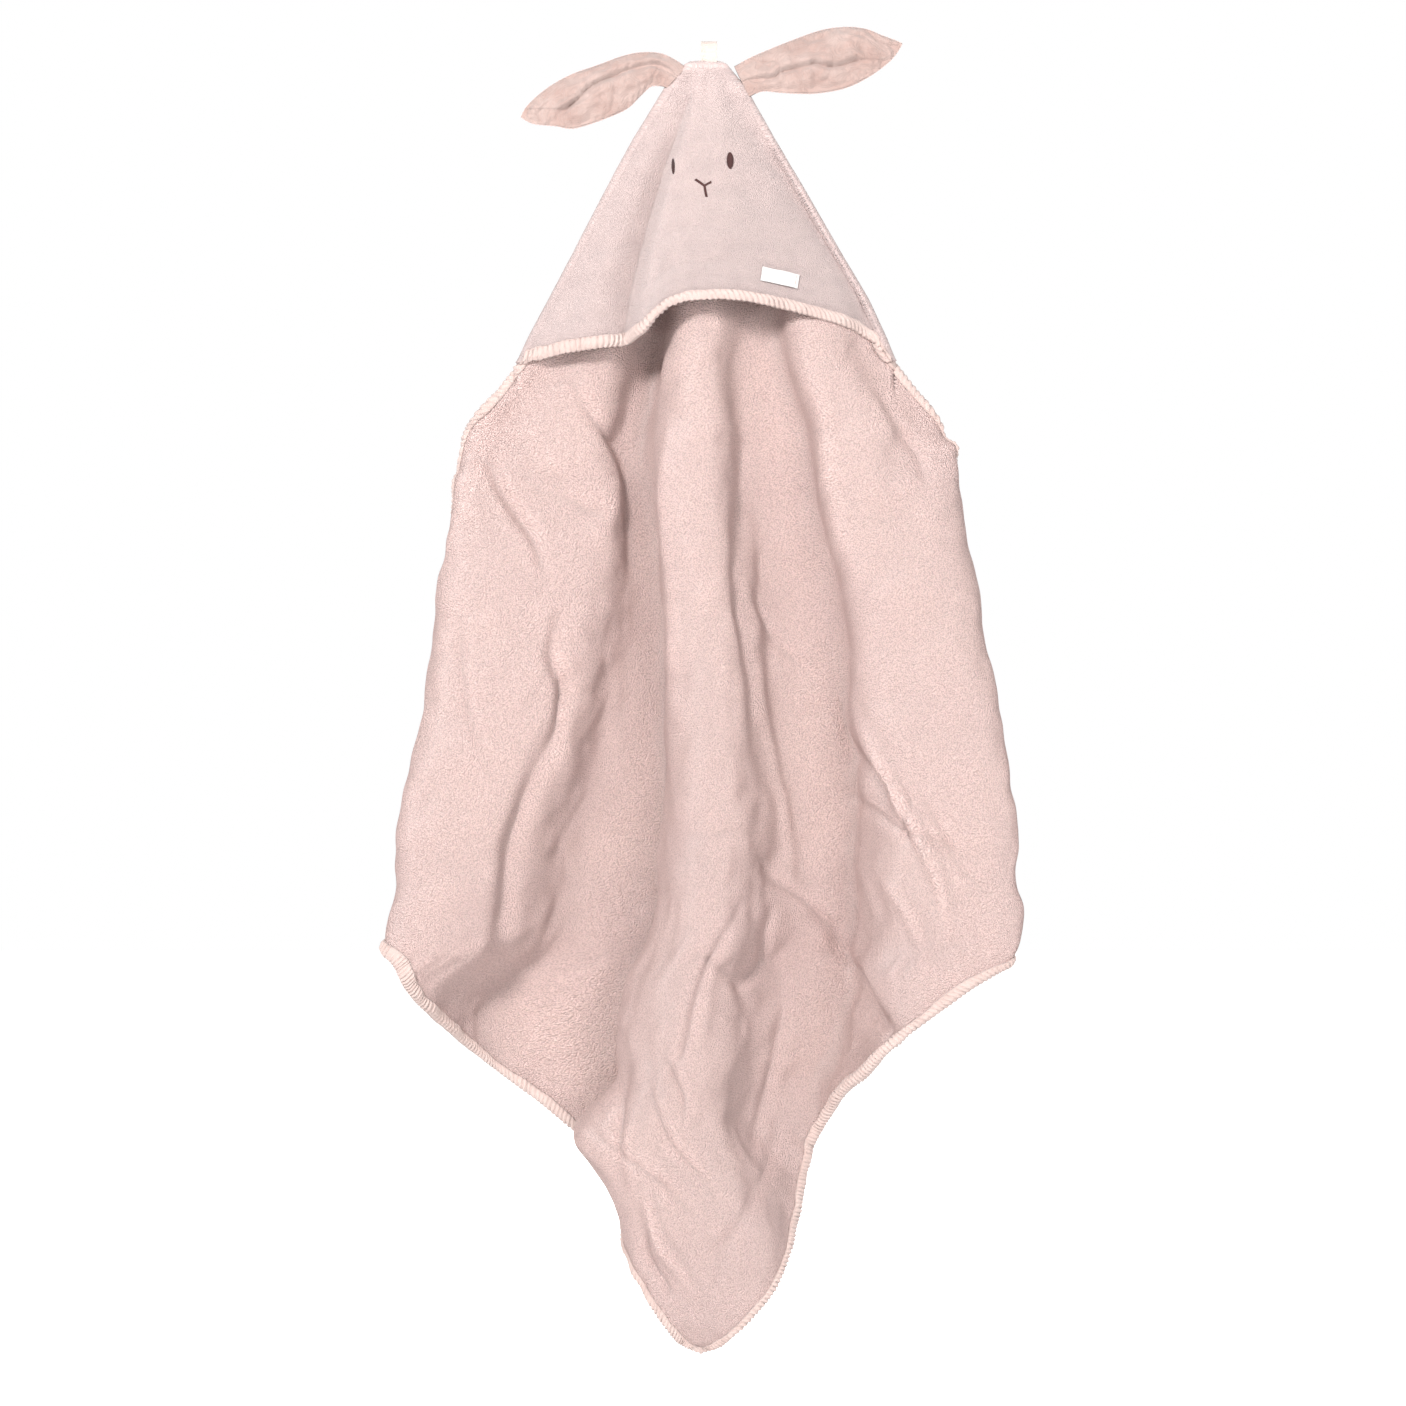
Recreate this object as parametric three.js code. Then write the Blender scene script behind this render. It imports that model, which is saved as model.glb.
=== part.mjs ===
// Hooded baby towel with rabbit ears, hung up by the tape loop at its peak.
// Millimetres: +X to the right of someone looking at the hood's face, +Y away from them, +Z up.
// The origin is the point inside the hanging loop that a hook carries.
// Every cloth panel is a thin closed solid that follows the towel's hanging shape. The square of
// terry is divided where the towel folds in use, so that each fold is a hinge between two panels.
import * as THREE from "three";

// ---- Cloth ----
const TERRY_THICKNESS = 4;
const HOOD_THICKNESS = 3;
const BINDING_WIDTH = 10;
const BINDING_THICKNESS = 5.5;
const HOOD_BINDING_THICKNESS = 4.5;
const SEAM_GAP = 0.3; // between two pieces sewn face to face
const HEM_GAP = 1.2; // between a panel and the binding round it
const FOLD_GAP = 7; // between two panels at a fold line
const MIDDLE_EASE = 0.6; // added to the hem's gap round the middle panel

// ---- Hanging shape ----
const PEAK_Z = -14;
const HOOD_FOLD_Z = -245; // the towel folds under the hood's ends
const WING_FOLD_X = 165; // the corner wings fold along upright lines
const BOTTOM_FOLD_Z = -851; // the bottom corner folds up
const SHOULDER_END_Z = -400; // above it an edge belongs to the shoulder
const HEM_START_Z = -600; // below it an edge belongs to the hem
const FOLD_DEPTH = 48; // of the hanging folds, either side of the middle plane
const FOLD_WAVES = 0.75; // waves from the middle to the wing's fold line
const FOLD_EDGE_POWER = 8; // how late the waves die out towards the wing's fold line
const FOLD_RISE = 150; // height over which the folds grow below the hood
const FOLD_FALL = 210; // height over which they die out above the bottom corner
const WING_TURN = 22; // how far a wing's edge turns back
const WING_WIDTH = 75; // from the wing's fold line to its corner
const BOTTOM_CURL = 14; // how far the bottom corner bellies forward
const BOTTOM_CURL_WIDTH = 60; // how quickly that dies out sideways
const BOTTOM_PANEL_END = -957; // where the bottom corner's terry ends inside its binding
const BOTTOM_HEIGHT = 122; // from the bottom fold line to the corner
const HOOD_BULGE = 46; // of the hood's front at its opening
const BACK_BULGE = 24; // of the towel behind the hood
const HOOD_GROWTH = 1.15; // power by which it grows below the peak
const BACK_RISE = 120; // height over which the back's bulge grows below the peak
const BACK_FALL = 60; // height over which it dies out above the fold line
const BULGE_POWER = 1.3; // how flat both bulges lie against the side seams
const BACK_FLARE = 0.5; // how fast the towel widens below the seams' ends

// The towel's outline from the hood's end down to the bottom corner, as [x, z].
const LEFT_OUTLINE = [
  [-134, -222.5], [-149, -252], [-165, -283], [-181, -300], [-193, -360], [-206, -447], [-232, -612],
  [-239.5, -672], [-219, -716], [-161, -777], [-88, -838], [-61, -898], [-36, -955], [-8, -973],
];
const RIGHT_OUTLINE = [
  [132, -222.5], [148, -250], [167, -280], [182, -297], [191, -360], [204, -447], [229, -612],
  [228, -675], [180, -716], [137, -747], [92, -808], [70, -868], [48, -927], [24, -958], [-8, -973],
];
// The hood's two sides as [x, z]: the peak, the lower end of the ear's seam, the hood's end.
const HOOD_LEFT = [[-13, PEAK_Z], [-31.5, -34], [-137, -228]];
const HOOD_RIGHT = [[9, PEAK_Z], [30, -41], [134.5, -226]];
const OPENING_END_Z = -229; // lower edge of the hood's binding at the side seams
const OPENING_MIDDLE_Z = -189; // and in the middle

// ---- Ears, face, label, loop ----
const EAR_GAP = 8; // from the seam's line to the ear's cloth
const EAR_BASE_THICKNESS = 6;
const EAR_THICKNESS = 13;
const EAR_Y = -1.65; // middle of the hood's seam
const EARS = {
  left: { seam: [[-16.5, -18.5], [-31.5, -34]], tip: [-141, -55], width: 36, sag: 9 },
  right: { seam: [[11, -21.5], [30, -41]], tip: [146, -1], width: 44, sag: 6 },
};
const STITCH_HEIGHT = 0.8;
const PATCH_LIFT = 1.2; // keeps a flat-backed patch clear of the curved hood
const EYE_HALF = [2.6, 6.6];
const LEFT_EYE = [-26, -93];
const RIGHT_EYE = [16, -89];
const NOSE = [-3.2, -108];
const NOSE_ARMS = [[-9.5, -103.4], [1.8, -105.3]];
const NOSE_STEM = [-1.5, -116.6];
const NOSE_LINE = 1.8;
const LABEL_SIZE = [28, 10.5];
const LABEL_CENTRE = [54, -176];
const LABEL_TILT = -0.17;
const LOOP_WIDTH = 12;
const LOOP_TAPE = 1.2;
const LOOP_RADIUS = 5; // outside of the loop's round top
const LOOP_FOOT = 1.7; // half the thickness of its two sewn ends
const LOOP_SEWN = 2.5; // height over which the two ends lie together

// ---- Looks ----
const material = (color, roughness) => new THREE.MeshStandardMaterial({ color, roughness, metalness: 0 });
const LOOKS = {
  terry: () => material(0xe3c9c3, 0.95),
  hood: () => material(0xe6d2cd, 0.85),
  binding: () => material(0xf2dcd5, 0.8),
  ear: () => material(0xe8d0ca, 0.85),
  thread: () => material(0x43322e, 0.6),
  label: () => material(0xf6f4f1, 0.7),
  tape: () => material(0xf4efe9, 0.8),
};

const towel = new THREE.Group();

function addPiece(name, look, geometry) {
  const mesh = new THREE.Mesh(geometry, LOOKS[look]());
  mesh.name = name;
  towel.add(mesh);
}

// A closed slab between two faces, each a function of u to the right and v upwards, both 0 to 1.
function slab(columns, rows, front, back) {
  const points = [];
  for (const face of [front, back])
    for (let j = 0; j <= rows; j++)
      for (let i = 0; i <= columns; i++) points.push(...face(i / columns, j / rows));
  const at = (face, i, j) => (face * (rows + 1) + j) * (columns + 1) + i;
  const index = [];
  const quad = (a, b, c, d) => index.push(a, b, c, a, c, d);
  for (let j = 0; j < rows; j++)
    for (let i = 0; i < columns; i++) {
      quad(at(0, i, j), at(0, i + 1, j), at(0, i + 1, j + 1), at(0, i, j + 1));
      quad(at(1, i, j), at(1, i, j + 1), at(1, i + 1, j + 1), at(1, i + 1, j));
    }
  for (let i = 0; i < columns; i++) {
    quad(at(0, i, 0), at(1, i, 0), at(1, i + 1, 0), at(0, i + 1, 0));
    quad(at(0, i, rows), at(0, i + 1, rows), at(1, i + 1, rows), at(1, i, rows));
  }
  for (let j = 0; j < rows; j++) {
    quad(at(0, 0, j), at(0, 0, j + 1), at(1, 0, j + 1), at(1, 0, j));
    quad(at(0, columns, j + 1), at(0, columns, j), at(1, columns, j), at(1, columns, j + 1));
  }
  const geometry = new THREE.BufferGeometry();
  geometry.setAttribute("position", new THREE.Float32BufferAttribute(points, 3));
  geometry.setIndex(index);
  geometry.computeVertexNormals();
  return geometry;
}

// A cloth slab on a middle surface y = depth(x, z), measured as thick as the cloth at any slope.
function clothSlab(columns, rows, place, depth, thickness) {
  const face = (side) => (u, v) => {
    const [x, z] = place(u, v);
    const slope = depth(x + 0.5, z) - depth(x - 0.5, z);
    return [x, depth(x, z) + side * (thickness / 2) * Math.sqrt(1 + slope * slope), z];
  };
  return slab(columns, rows, face(-1), face(1));
}

// ---- Outlines ----
const smooth = (t) => THREE.MathUtils.smoothstep(t, 0, 1);
const mix = THREE.MathUtils.lerp;
const OUTLINE_SAMPLES = 1600;

function outlineCurve(points) {
  const through = points.map(([x, z]) => new THREE.Vector3(x, 0, z));
  const curve = new THREE.CatmullRomCurve3(through, false, "centripetal");
  return curve.getSpacedPoints(OUTLINE_SAMPLES).map((p) => [p.x, p.z]);
}

// The outline moved inwards by a distance, in the towel's plane.
function inset(line, distance, inward) {
  return line.map(([x, z], i) => {
    const a = line[Math.max(i - 4, 0)];
    const b = line[Math.min(i + 4, line.length - 1)];
    const length = Math.hypot(b[0] - a[0], b[1] - a[1]);
    const normal = [-(b[1] - a[1]) / length, (b[0] - a[0]) / length];
    return [x + inward * distance * normal[0], z + inward * distance * normal[1]];
  });
}

const sides = {
  left: { sign: -1, outer: outlineCurve(LEFT_OUTLINE), inward: 1 },
  right: { sign: 1, outer: outlineCurve(RIGHT_OUTLINE), inward: -1 },
};
for (const side of Object.values(sides)) {
  side.hem = inset(side.outer, BINDING_WIDTH, side.inward);
  side.panel = inset(side.outer, BINDING_WIDTH + HEM_GAP, side.inward);
}

// x of a side's panel edge at a height.
function edgeX(side, z) {
  const line = side.panel;
  for (let i = 1; i < line.length; i++)
    if (line[i][1] <= z && line[i - 1][1] > z) {
      const t = (z - line[i][1]) / (line[i - 1][1] - line[i][1]);
      return mix(line[i][0], line[i - 1][0], t);
    }
  return line[z > line[0][1] ? 0 : line.length - 1][0];
}

// Height at which a side's panel edge crosses an upright line, on the upper edge or on the hem.
function crossingZ(side, x, onHem) {
  const outside = side.panel.filter((p) => side.sign * p[0] > x);
  return outside[onHem ? outside.length - 1 : 0][1];
}

// ---- Hanging surfaces ----
const waveDepth = (z) =>
  smooth((HOOD_FOLD_Z - z) / FOLD_RISE) * smooth((z - BOTTOM_FOLD_Z) / FOLD_FALL);

function drapeY(x, z) {
  const across = Math.abs(x) / WING_FOLD_X;
  const wave = Math.cos(2 * Math.PI * FOLD_WAVES * across) * (1 - across ** FOLD_EDGE_POWER);
  return -FOLD_DEPTH * waveDepth(z) * wave;
}
const wingY = (x, z) =>
  WING_TURN * waveDepth(z) * ((Math.abs(x) - WING_FOLD_X) / WING_WIDTH) ** 2;
const bottomY = (x, z) =>
  -BOTTOM_CURL * Math.sin(Math.PI * smooth((BOTTOM_FOLD_Z - z) / BOTTOM_HEIGHT)) *
  Math.cos(x / BOTTOM_CURL_WIDTH);

function sideX(points, z) {
  const k = z > points[1][1] ? 0 : 1;
  const [a, b] = [points[k], points[k + 1]];
  return mix(a[0], b[0], (z - a[1]) / (b[1] - a[1]));
}
const acrossHood = (x, z) => {
  const left = sideX(HOOD_LEFT, z);
  return THREE.MathUtils.clamp((x - left) / (sideX(HOOD_RIGHT, z) - left), 0, 1);
};
const growth = (z) => Math.max(0, (PEAK_Z - z) / (PEAK_Z - OPENING_MIDDLE_Z)) ** HOOD_GROWTH;
const HOOD_SEAM_Y = -(TERRY_THICKNESS / 2 + SEAM_GAP + HOOD_THICKNESS / 2);
const hoodY = (x, z) =>
  HOOD_SEAM_Y - HOOD_BULGE * growth(z) * Math.sin(Math.PI * acrossHood(x, z)) ** BULGE_POWER;
const BINDING_SEAM_Y = -(TERRY_THICKNESS / 2 + SEAM_GAP + HOOD_BINDING_THICKNESS / 2);
const hoodBindingY = (x, z) => hoodY(x, z) - HOOD_SEAM_Y + BINDING_SEAM_Y;
const behindHoodY = (x, z) =>
  BACK_BULGE * smooth((PEAK_Z - z) / BACK_RISE) * smooth((z - HOOD_FOLD_Z) / BACK_FALL) *
  Math.sin(Math.PI * acrossHood(x, z)) ** BULGE_POWER;
const openingZ = (u) => mix(OPENING_END_Z, OPENING_MIDDLE_Z, Math.sin(Math.PI * u) ** 0.8);

// ---- Towel panels ----
const half = FOLD_GAP / 2;

function addPanel(name, zBottom, zTop, columns, rows, leftX, rightX, depth) {
  const place = (u, v) => {
    const z = mix(zBottom, zTop, v);
    return [mix(leftX(z), rightX(z), u), z];
  };
  addPiece(name, "terry", clothSlab(columns, rows, place, depth, TERRY_THICKNESS));
}

// Behind the hood, from side seam to side seam, and widening below the seams' ends.
function behindEdge(seam, sign) {
  const end = seam[seam.length - 1][1];
  return (z) => sideX(seam, Math.max(z, end)) + sign * Math.max(0, end - z) * BACK_FLARE;
}
addPanel("towel_behind_hood", HOOD_FOLD_Z + half, PEAK_Z, 14, 10,
  behindEdge(HOOD_LEFT, -1), behindEdge(HOOD_RIGHT, 1), behindHoodY);

// The middle of the towel, between the wings' fold lines and inside the hem.
const innerX = WING_FOLD_X - half;
const middleTop = HOOD_FOLD_Z - half;
const middleBottom = BOTTOM_FOLD_Z + half;
addPanel("towel_middle", middleBottom, middleTop, 24, 30,
  (z) => Math.max(edgeX(sides.left, z) + MIDDLE_EASE, -innerX),
  (z) => Math.min(edgeX(sides.right, z) - MIDDLE_EASE, innerX),
  drapeY);

addPanel("towel_bottom_corner", BOTTOM_PANEL_END, BOTTOM_FOLD_Z - half, 10, 7,
  (z) => edgeX(sides.left, z), (z) => edgeX(sides.right, z), bottomY);

// The two corner wings, outside the upright fold lines.
const outerX = WING_FOLD_X + half;
for (const [name, side] of Object.entries(sides)) {
  const top = crossingZ(side, outerX + 2, false);
  const bottom = crossingZ(side, outerX + 2, true);
  const fold = () => side.sign * outerX;
  const edge = (z) => side.sign * Math.max(side.sign * edgeX(side, z), outerX + 1);
  const [leftX, rightX] = name === "left" ? [edge, fold] : [fold, edge];
  addPanel(`towel_${name}_wing`, bottom, top, 5, 20, leftX, rightX, wingY);
}

// ---- Binding: one folded tape sewn round the towel's edge, in the same lengths as the panels ----
function addBinding(name, lines, keep, segments, depth) {
  const outer = lines.flatMap(([side]) => side);
  const inner = lines.flatMap(([, side]) => side);
  const kept = outer.map((p, i) => i).filter((i) => keep(outer[i]) && keep(inner[i]));
  const place = (u, v) => {
    const i = kept[Math.round(u * (kept.length - 1))];
    return [mix(outer[i][0], inner[i][0], v), mix(outer[i][1], inner[i][1], v)];
  };
  addPiece(name, "binding", clothSlab(segments, 1, place, depth, BINDING_THICKNESS));
}

const both = (side) => [side.outer, side.hem];
const turned = ([outer, hem]) => [[...outer].reverse(), [...hem].reverse()];
for (const [name, side] of Object.entries(sides)) {
  // Strips run left to right with the towel above them, so the right-hand lines run back up.
  const lines = [name === "left" ? both(side) : turned(both(side))];
  const inside = (p) => side.sign * p[0] < innerX;
  const onShoulder = (p) => inside(p) && p[1] < middleTop && p[1] > SHOULDER_END_Z;
  const onWing = (p) => side.sign * p[0] > outerX;
  const onHem = (p) => inside(p) && p[1] < HEM_START_Z && p[1] > middleBottom;
  addBinding(`edge_binding_${name}_shoulder`, lines, onShoulder, 5, drapeY);
  addBinding(`edge_binding_${name}_wing`, lines, onWing, 44, wingY);
  addBinding(`edge_binding_${name}_hem`, lines, onHem, 14, drapeY);
}
const below = (p) => p[1] < BOTTOM_FOLD_Z - half;
addBinding("edge_binding_bottom_corner", [both(sides.left), turned(both(sides.right))], below, 30, bottomY);

// ---- Hood: a bulging front panel over the towel, open along its lower edge ----
const hoodPlace = (low, high) => (u, v) => {
  const z = mix(openingZ(u) + low, high === undefined ? PEAK_Z : openingZ(u) + high, v);
  return [mix(sideX(HOOD_LEFT, z), sideX(HOOD_RIGHT, z), u), z];
};
addPiece("hood_front", "hood",
  clothSlab(16, 12, hoodPlace(BINDING_WIDTH + HEM_GAP), hoodY, HOOD_THICKNESS));
addPiece("hood_opening_binding", "binding",
  clothSlab(24, 1, hoodPlace(0, BINDING_WIDTH), hoodBindingY, HOOD_BINDING_THICKNESS));

// ---- Ears: two puffy layers each, sewn round the edge and into the hood's side seam ----
for (const [name, ear] of Object.entries(EARS)) {
  const root = [(ear.seam[0][0] + ear.seam[1][0]) / 2, (ear.seam[0][1] + ear.seam[1][1]) / 2];
  const reach = new THREE.Vector2(ear.tip[0] - root[0], ear.tip[1] - root[1]);
  const length = reach.length() - EAR_GAP;
  const along = reach.normalize();
  const seamLine = new THREE.Vector2(ear.seam[0][0] - ear.seam[1][0], ear.seam[0][1] - ear.seam[1][1]);
  const seamHalf = seamLine.length() / 2;
  const seamUp = seamLine.normalize();
  const up = new THREE.Vector2(-along.y, along.x).multiplyScalar(Math.sign(along.x));
  const outSign = Math.sign(seamUp.y * along.x - seamUp.x * along.y);
  const out = new THREE.Vector2(seamUp.y, -seamUp.x).multiplyScalar(outSign);
  const start = [root[0] + EAR_GAP * out.x, root[1] + EAR_GAP * out.y];
  // Share of the ear's full width at a distance along it, from the base to the tip.
  const leaf = (t) => Math.sin(Math.PI * Math.min(1, 0.16 + 0.84 * t) ** 0.9) ** 0.75;
  const place = (u, v) => {
    const t = name === "left" ? 1 - u : u;
    const s = 2 * v - 1;
    const blend = smooth(t * 4);
    const width = mix(seamHalf * 0.8, Math.max(1.2, (ear.width / 2) * leaf(t)), blend);
    const across = new THREE.Vector2().lerpVectors(seamUp, up, blend).normalize();
    const rise = ear.sag * Math.sin(Math.PI * t);
    const centre = [
      start[0] + along.x * length * t + up.x * rise,
      start[1] + along.y * length * t + up.y * rise,
    ];
    return [centre[0] + across.x * width * s, centre[1] + across.y * width * s];
  };
  const puff = (u, v) => {
    const t = name === "left" ? 1 - u : u;
    const crown = mix(EAR_BASE_THICKNESS, EAR_THICKNESS, Math.sin(Math.PI * t ** 0.8)) / 2;
    return 1 + (crown - 1) * Math.sqrt(Math.max(0, 1 - (2 * v - 1) ** 2));
  };
  const face = (offset) => (u, v) => {
    const [x, z] = place(u, v);
    return [x, EAR_Y + offset(u, v), z];
  };
  addPiece(`${name}_ear_front`, "ear",
    slab(14, 6, face((u, v) => -SEAM_GAP / 2 - puff(u, v)), face(() => -SEAM_GAP / 2)));
  addPiece(`${name}_ear_back`, "ear",
    slab(14, 6, face(() => SEAM_GAP / 2), face((u, v) => SEAM_GAP / 2 + puff(u, v))));
}

// ---- Face and label, lying on the hood's front ----
function addPatch(name, look, shape, height) {
  const flat = new THREE.ExtrudeGeometry(shape, { depth: height, bevelEnabled: false, curveSegments: 8 });
  const position = flat.getAttribute("position");
  for (let i = 0; i < position.count; i++) {
    const x = position.getX(i);
    const z = position.getY(i);
    const y = hoodY(x, z) - HOOD_THICKNESS / 2 - SEAM_GAP - PATCH_LIFT - position.getZ(i);
    position.setXYZ(i, x, y, z);
  }
  flat.computeVertexNormals();
  addPiece(name, look, flat);
}

function ellipse([x, z], [halfX, halfZ]) {
  return new THREE.Shape().absellipse(x, z, halfX, halfZ, 0, 2 * Math.PI, false, 0);
}

// A Y of thread: two arms that meet over a stem.
function noseShape() {
  const limb = (from, to) => {
    const way = new THREE.Vector2(to[0] - from[0], to[1] - from[1]);
    way.normalize().multiplyScalar(NOSE_LINE / 2);
    return [[to[0] - way.y, to[1] + way.x], [to[0] + way.y, to[1] - way.x]];
  };
  const [l1, l2] = limb(NOSE, NOSE_ARMS[0]);
  const [r1, r2] = limb(NOSE, NOSE_ARMS[1]);
  const [s1, s2] = limb(NOSE, NOSE_STEM);
  const notch = [NOSE[0], NOSE[1] + NOSE_LINE * 0.8];
  const under = NOSE_LINE * 0.55;
  const leftUnder = [NOSE[0] - under, NOSE[1] - under];
  const rightUnder = [NOSE[0] + under, NOSE[1] - under];
  const outline = [l1, leftUnder, s2, s1, rightUnder, r2, r1, notch, l2];
  return new THREE.Shape(outline.map(([x, z]) => new THREE.Vector2(x, z)));
}

function labelShape() {
  const corners = [[-1, -1], [1, -1], [1, 1], [-1, 1]].map(([i, j]) =>
    new THREE.Vector2((i * LABEL_SIZE[0]) / 2, (j * LABEL_SIZE[1]) / 2)
      .rotateAround(new THREE.Vector2(), LABEL_TILT)
      .add(new THREE.Vector2(...LABEL_CENTRE)));
  return new THREE.Shape(corners);
}

addPatch("left_eye", "thread", ellipse(LEFT_EYE, EYE_HALF), STITCH_HEIGHT);
addPatch("right_eye", "thread", ellipse(RIGHT_EYE, EYE_HALF), STITCH_HEIGHT);
addPatch("nose_and_mouth", "thread", noseShape(), STITCH_HEIGHT);
addPatch("woven_label", "label", labelShape(), STITCH_HEIGHT);

// ---- Hanging loop: tape folded in half, both ends sewn into the peak ----
function loopGeometry() {
  const centreZ = LOOP_TAPE - LOOP_RADIUS;
  const footZ = PEAK_Z + SEAM_GAP;
  const outline = new THREE.Shape();
  outline.moveTo(LOOP_FOOT, footZ);
  outline.lineTo(LOOP_RADIUS, centreZ);
  outline.absarc(0, centreZ, LOOP_RADIUS, 0, Math.PI, false);
  outline.lineTo(-LOOP_FOOT, footZ);
  outline.closePath();
  const inside = LOOP_RADIUS - LOOP_TAPE;
  const hole = new THREE.Path();
  hole.moveTo(0, footZ + LOOP_SEWN);
  hole.lineTo(-inside, centreZ);
  hole.absarc(0, centreZ, inside, Math.PI, 0, true);
  hole.closePath();
  outline.holes.push(hole);
  const settings = { depth: LOOP_WIDTH, bevelEnabled: false, curveSegments: 10 };
  const geometry = new THREE.ExtrudeGeometry(outline, settings);
  // The outline lies in the Y-Z plane and its depth runs along X.
  const frame = new THREE.Matrix4().makeBasis(
    new THREE.Vector3(0, 1, 0), new THREE.Vector3(0, 0, 1), new THREE.Vector3(1, 0, 0));
  return geometry.translate(0, 0, -LOOP_WIDTH / 2).applyMatrix4(frame);
}
addPiece("hanging_loop", "tape", loopGeometry());

export default towel;
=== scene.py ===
import math

import bpy
import numpy as np
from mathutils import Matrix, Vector, kdtree


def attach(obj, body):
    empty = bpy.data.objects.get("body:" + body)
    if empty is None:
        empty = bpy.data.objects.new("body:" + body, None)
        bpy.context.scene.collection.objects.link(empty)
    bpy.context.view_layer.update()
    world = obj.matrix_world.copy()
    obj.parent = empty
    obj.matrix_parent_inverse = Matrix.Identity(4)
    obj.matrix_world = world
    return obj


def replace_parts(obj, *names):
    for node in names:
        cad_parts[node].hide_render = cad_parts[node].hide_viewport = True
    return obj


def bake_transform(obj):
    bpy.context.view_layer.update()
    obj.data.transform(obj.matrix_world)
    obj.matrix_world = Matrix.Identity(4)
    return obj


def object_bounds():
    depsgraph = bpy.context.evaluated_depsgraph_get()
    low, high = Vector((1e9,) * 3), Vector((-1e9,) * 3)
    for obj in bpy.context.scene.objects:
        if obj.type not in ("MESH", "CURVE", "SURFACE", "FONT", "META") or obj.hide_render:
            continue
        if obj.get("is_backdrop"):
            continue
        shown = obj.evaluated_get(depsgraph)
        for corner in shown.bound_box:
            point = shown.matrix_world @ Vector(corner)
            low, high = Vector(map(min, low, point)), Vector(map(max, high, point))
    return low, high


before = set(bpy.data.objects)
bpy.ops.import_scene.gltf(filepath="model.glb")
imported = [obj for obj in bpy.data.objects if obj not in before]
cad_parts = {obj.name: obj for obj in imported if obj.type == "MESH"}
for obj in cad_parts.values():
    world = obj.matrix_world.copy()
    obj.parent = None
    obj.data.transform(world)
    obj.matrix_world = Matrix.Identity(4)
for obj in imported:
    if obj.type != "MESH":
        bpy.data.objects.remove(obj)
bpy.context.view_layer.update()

# ---- Cut sizes, in metres ----
SIDE = 0.70  # the terry square
HANG_SIDE = 0.708  # the same side, pulled longer by its own weight
CORNER = 0.045  # radius of the three free corners
TERRY = 0.004
HOOD_LEG = 0.262  # the hood's two sewn sides
HOOD_CLOTH = 0.003
TAPE = 0.0012
TIP = -0.9735  # height of the bottom corner
PEAK = -0.014  # height of the towel's top corner below the hook
BINDING_FRONT = 0.0088  # how far the hood's folded tape reaches in from the edge
CLIP_POINTS = ((-0.164, -0.267), (0.166, -0.262))  # where the wings are held, from the peak

# ---- The hung outline: height, left edge, right edge ----
OUTLINE = (
    (-0.014, -0.013, 0.009), (-0.034, -0.0315, 0.026), (-0.0725, -0.055, 0.047),
    (-0.1175, -0.079, 0.074), (-0.1625, -0.102, 0.100), (-0.1925, -0.118, 0.118),
    (-0.2225, -0.134, 0.132), (-0.2375, -0.141, 0.138), (-0.2790, -0.175, 0.171),
    (-0.2975, -0.182, 0.182), (-0.3575, -0.193, 0.190), (-0.4175, -0.202, 0.200),
    (-0.4925, -0.212, 0.213), (-0.5525, -0.222, 0.224), (-0.6125, -0.232, 0.230),
    (-0.6425, -0.236, 0.231),
    (-0.6725, -0.239, 0.229), (-0.6875, -0.238, 0.219), (-0.7025, -0.229, 0.199),
    (-0.7175, -0.218, 0.178), (-0.7475, -0.194, 0.136), (-0.7775, -0.161, 0.108),
    (-0.8075, -0.122, 0.092), (-0.8375, -0.088, 0.080), (-0.8675, -0.071, 0.070),
    (-0.8975, -0.062, 0.062), (-0.9275, -0.050, 0.048), (-0.9575, -0.034, 0.025),
    (-0.9725, -0.016, 0.001))
# The hood's opening edge: distance across, height.
OPENING = (
    (-0.137, -0.2375), (-0.127, -0.2375), (-0.110, -0.2335), (-0.084, -0.2300), (-0.0615, -0.2265),
    (-0.0495, -0.2200), (-0.0405, -0.2095), (-0.0305, -0.2015), (-0.0165, -0.1970), (0.0075, -0.1958),
    (0.0285, -0.1970), (0.0458, -0.2000), (0.0623, -0.2030), (0.0795, -0.2070), (0.0968, -0.2110),
    (0.110, -0.2150), (0.1193, -0.2205), (0.1313, -0.2275), (0.138, -0.2340))


# ---- Small helpers ----
def ease(t):
    """A soft step from 0 to 1 as t goes from 0 to 1."""
    t = np.clip(t, 0.0, 1.0)
    return t * t * (3.0 - 2.0 * t)


def track(x, points):
    """Value at x of a line through (x, value) points given in rising or falling order."""
    points = sorted(points)
    return np.interp(x, [p[0] for p in points], [p[1] for p in points])


LATTICE = 97  # random values each way before the bumps repeat


def bumps(a, b, size, seed):
    """Smooth random bumps of that size, from about -1 to 1."""
    rng = np.random.default_rng(seed)
    lattice = rng.uniform(-1.0, 1.0, (LATTICE, LATTICE))
    a, b = np.asarray(a) / size, np.asarray(b) / size
    i, j = np.floor(a).astype(int), np.floor(b).astype(int)
    f, g = ease(a - i), ease(b - j)
    at = lambda di, dj: lattice[(i + di) % LATTICE, (j + dj) % LATTICE]
    return (at(0, 0) * (1 - f) + at(1, 0) * f) * (1 - g) + (at(0, 1) * (1 - f) + at(1, 1) * f) * g


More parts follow.
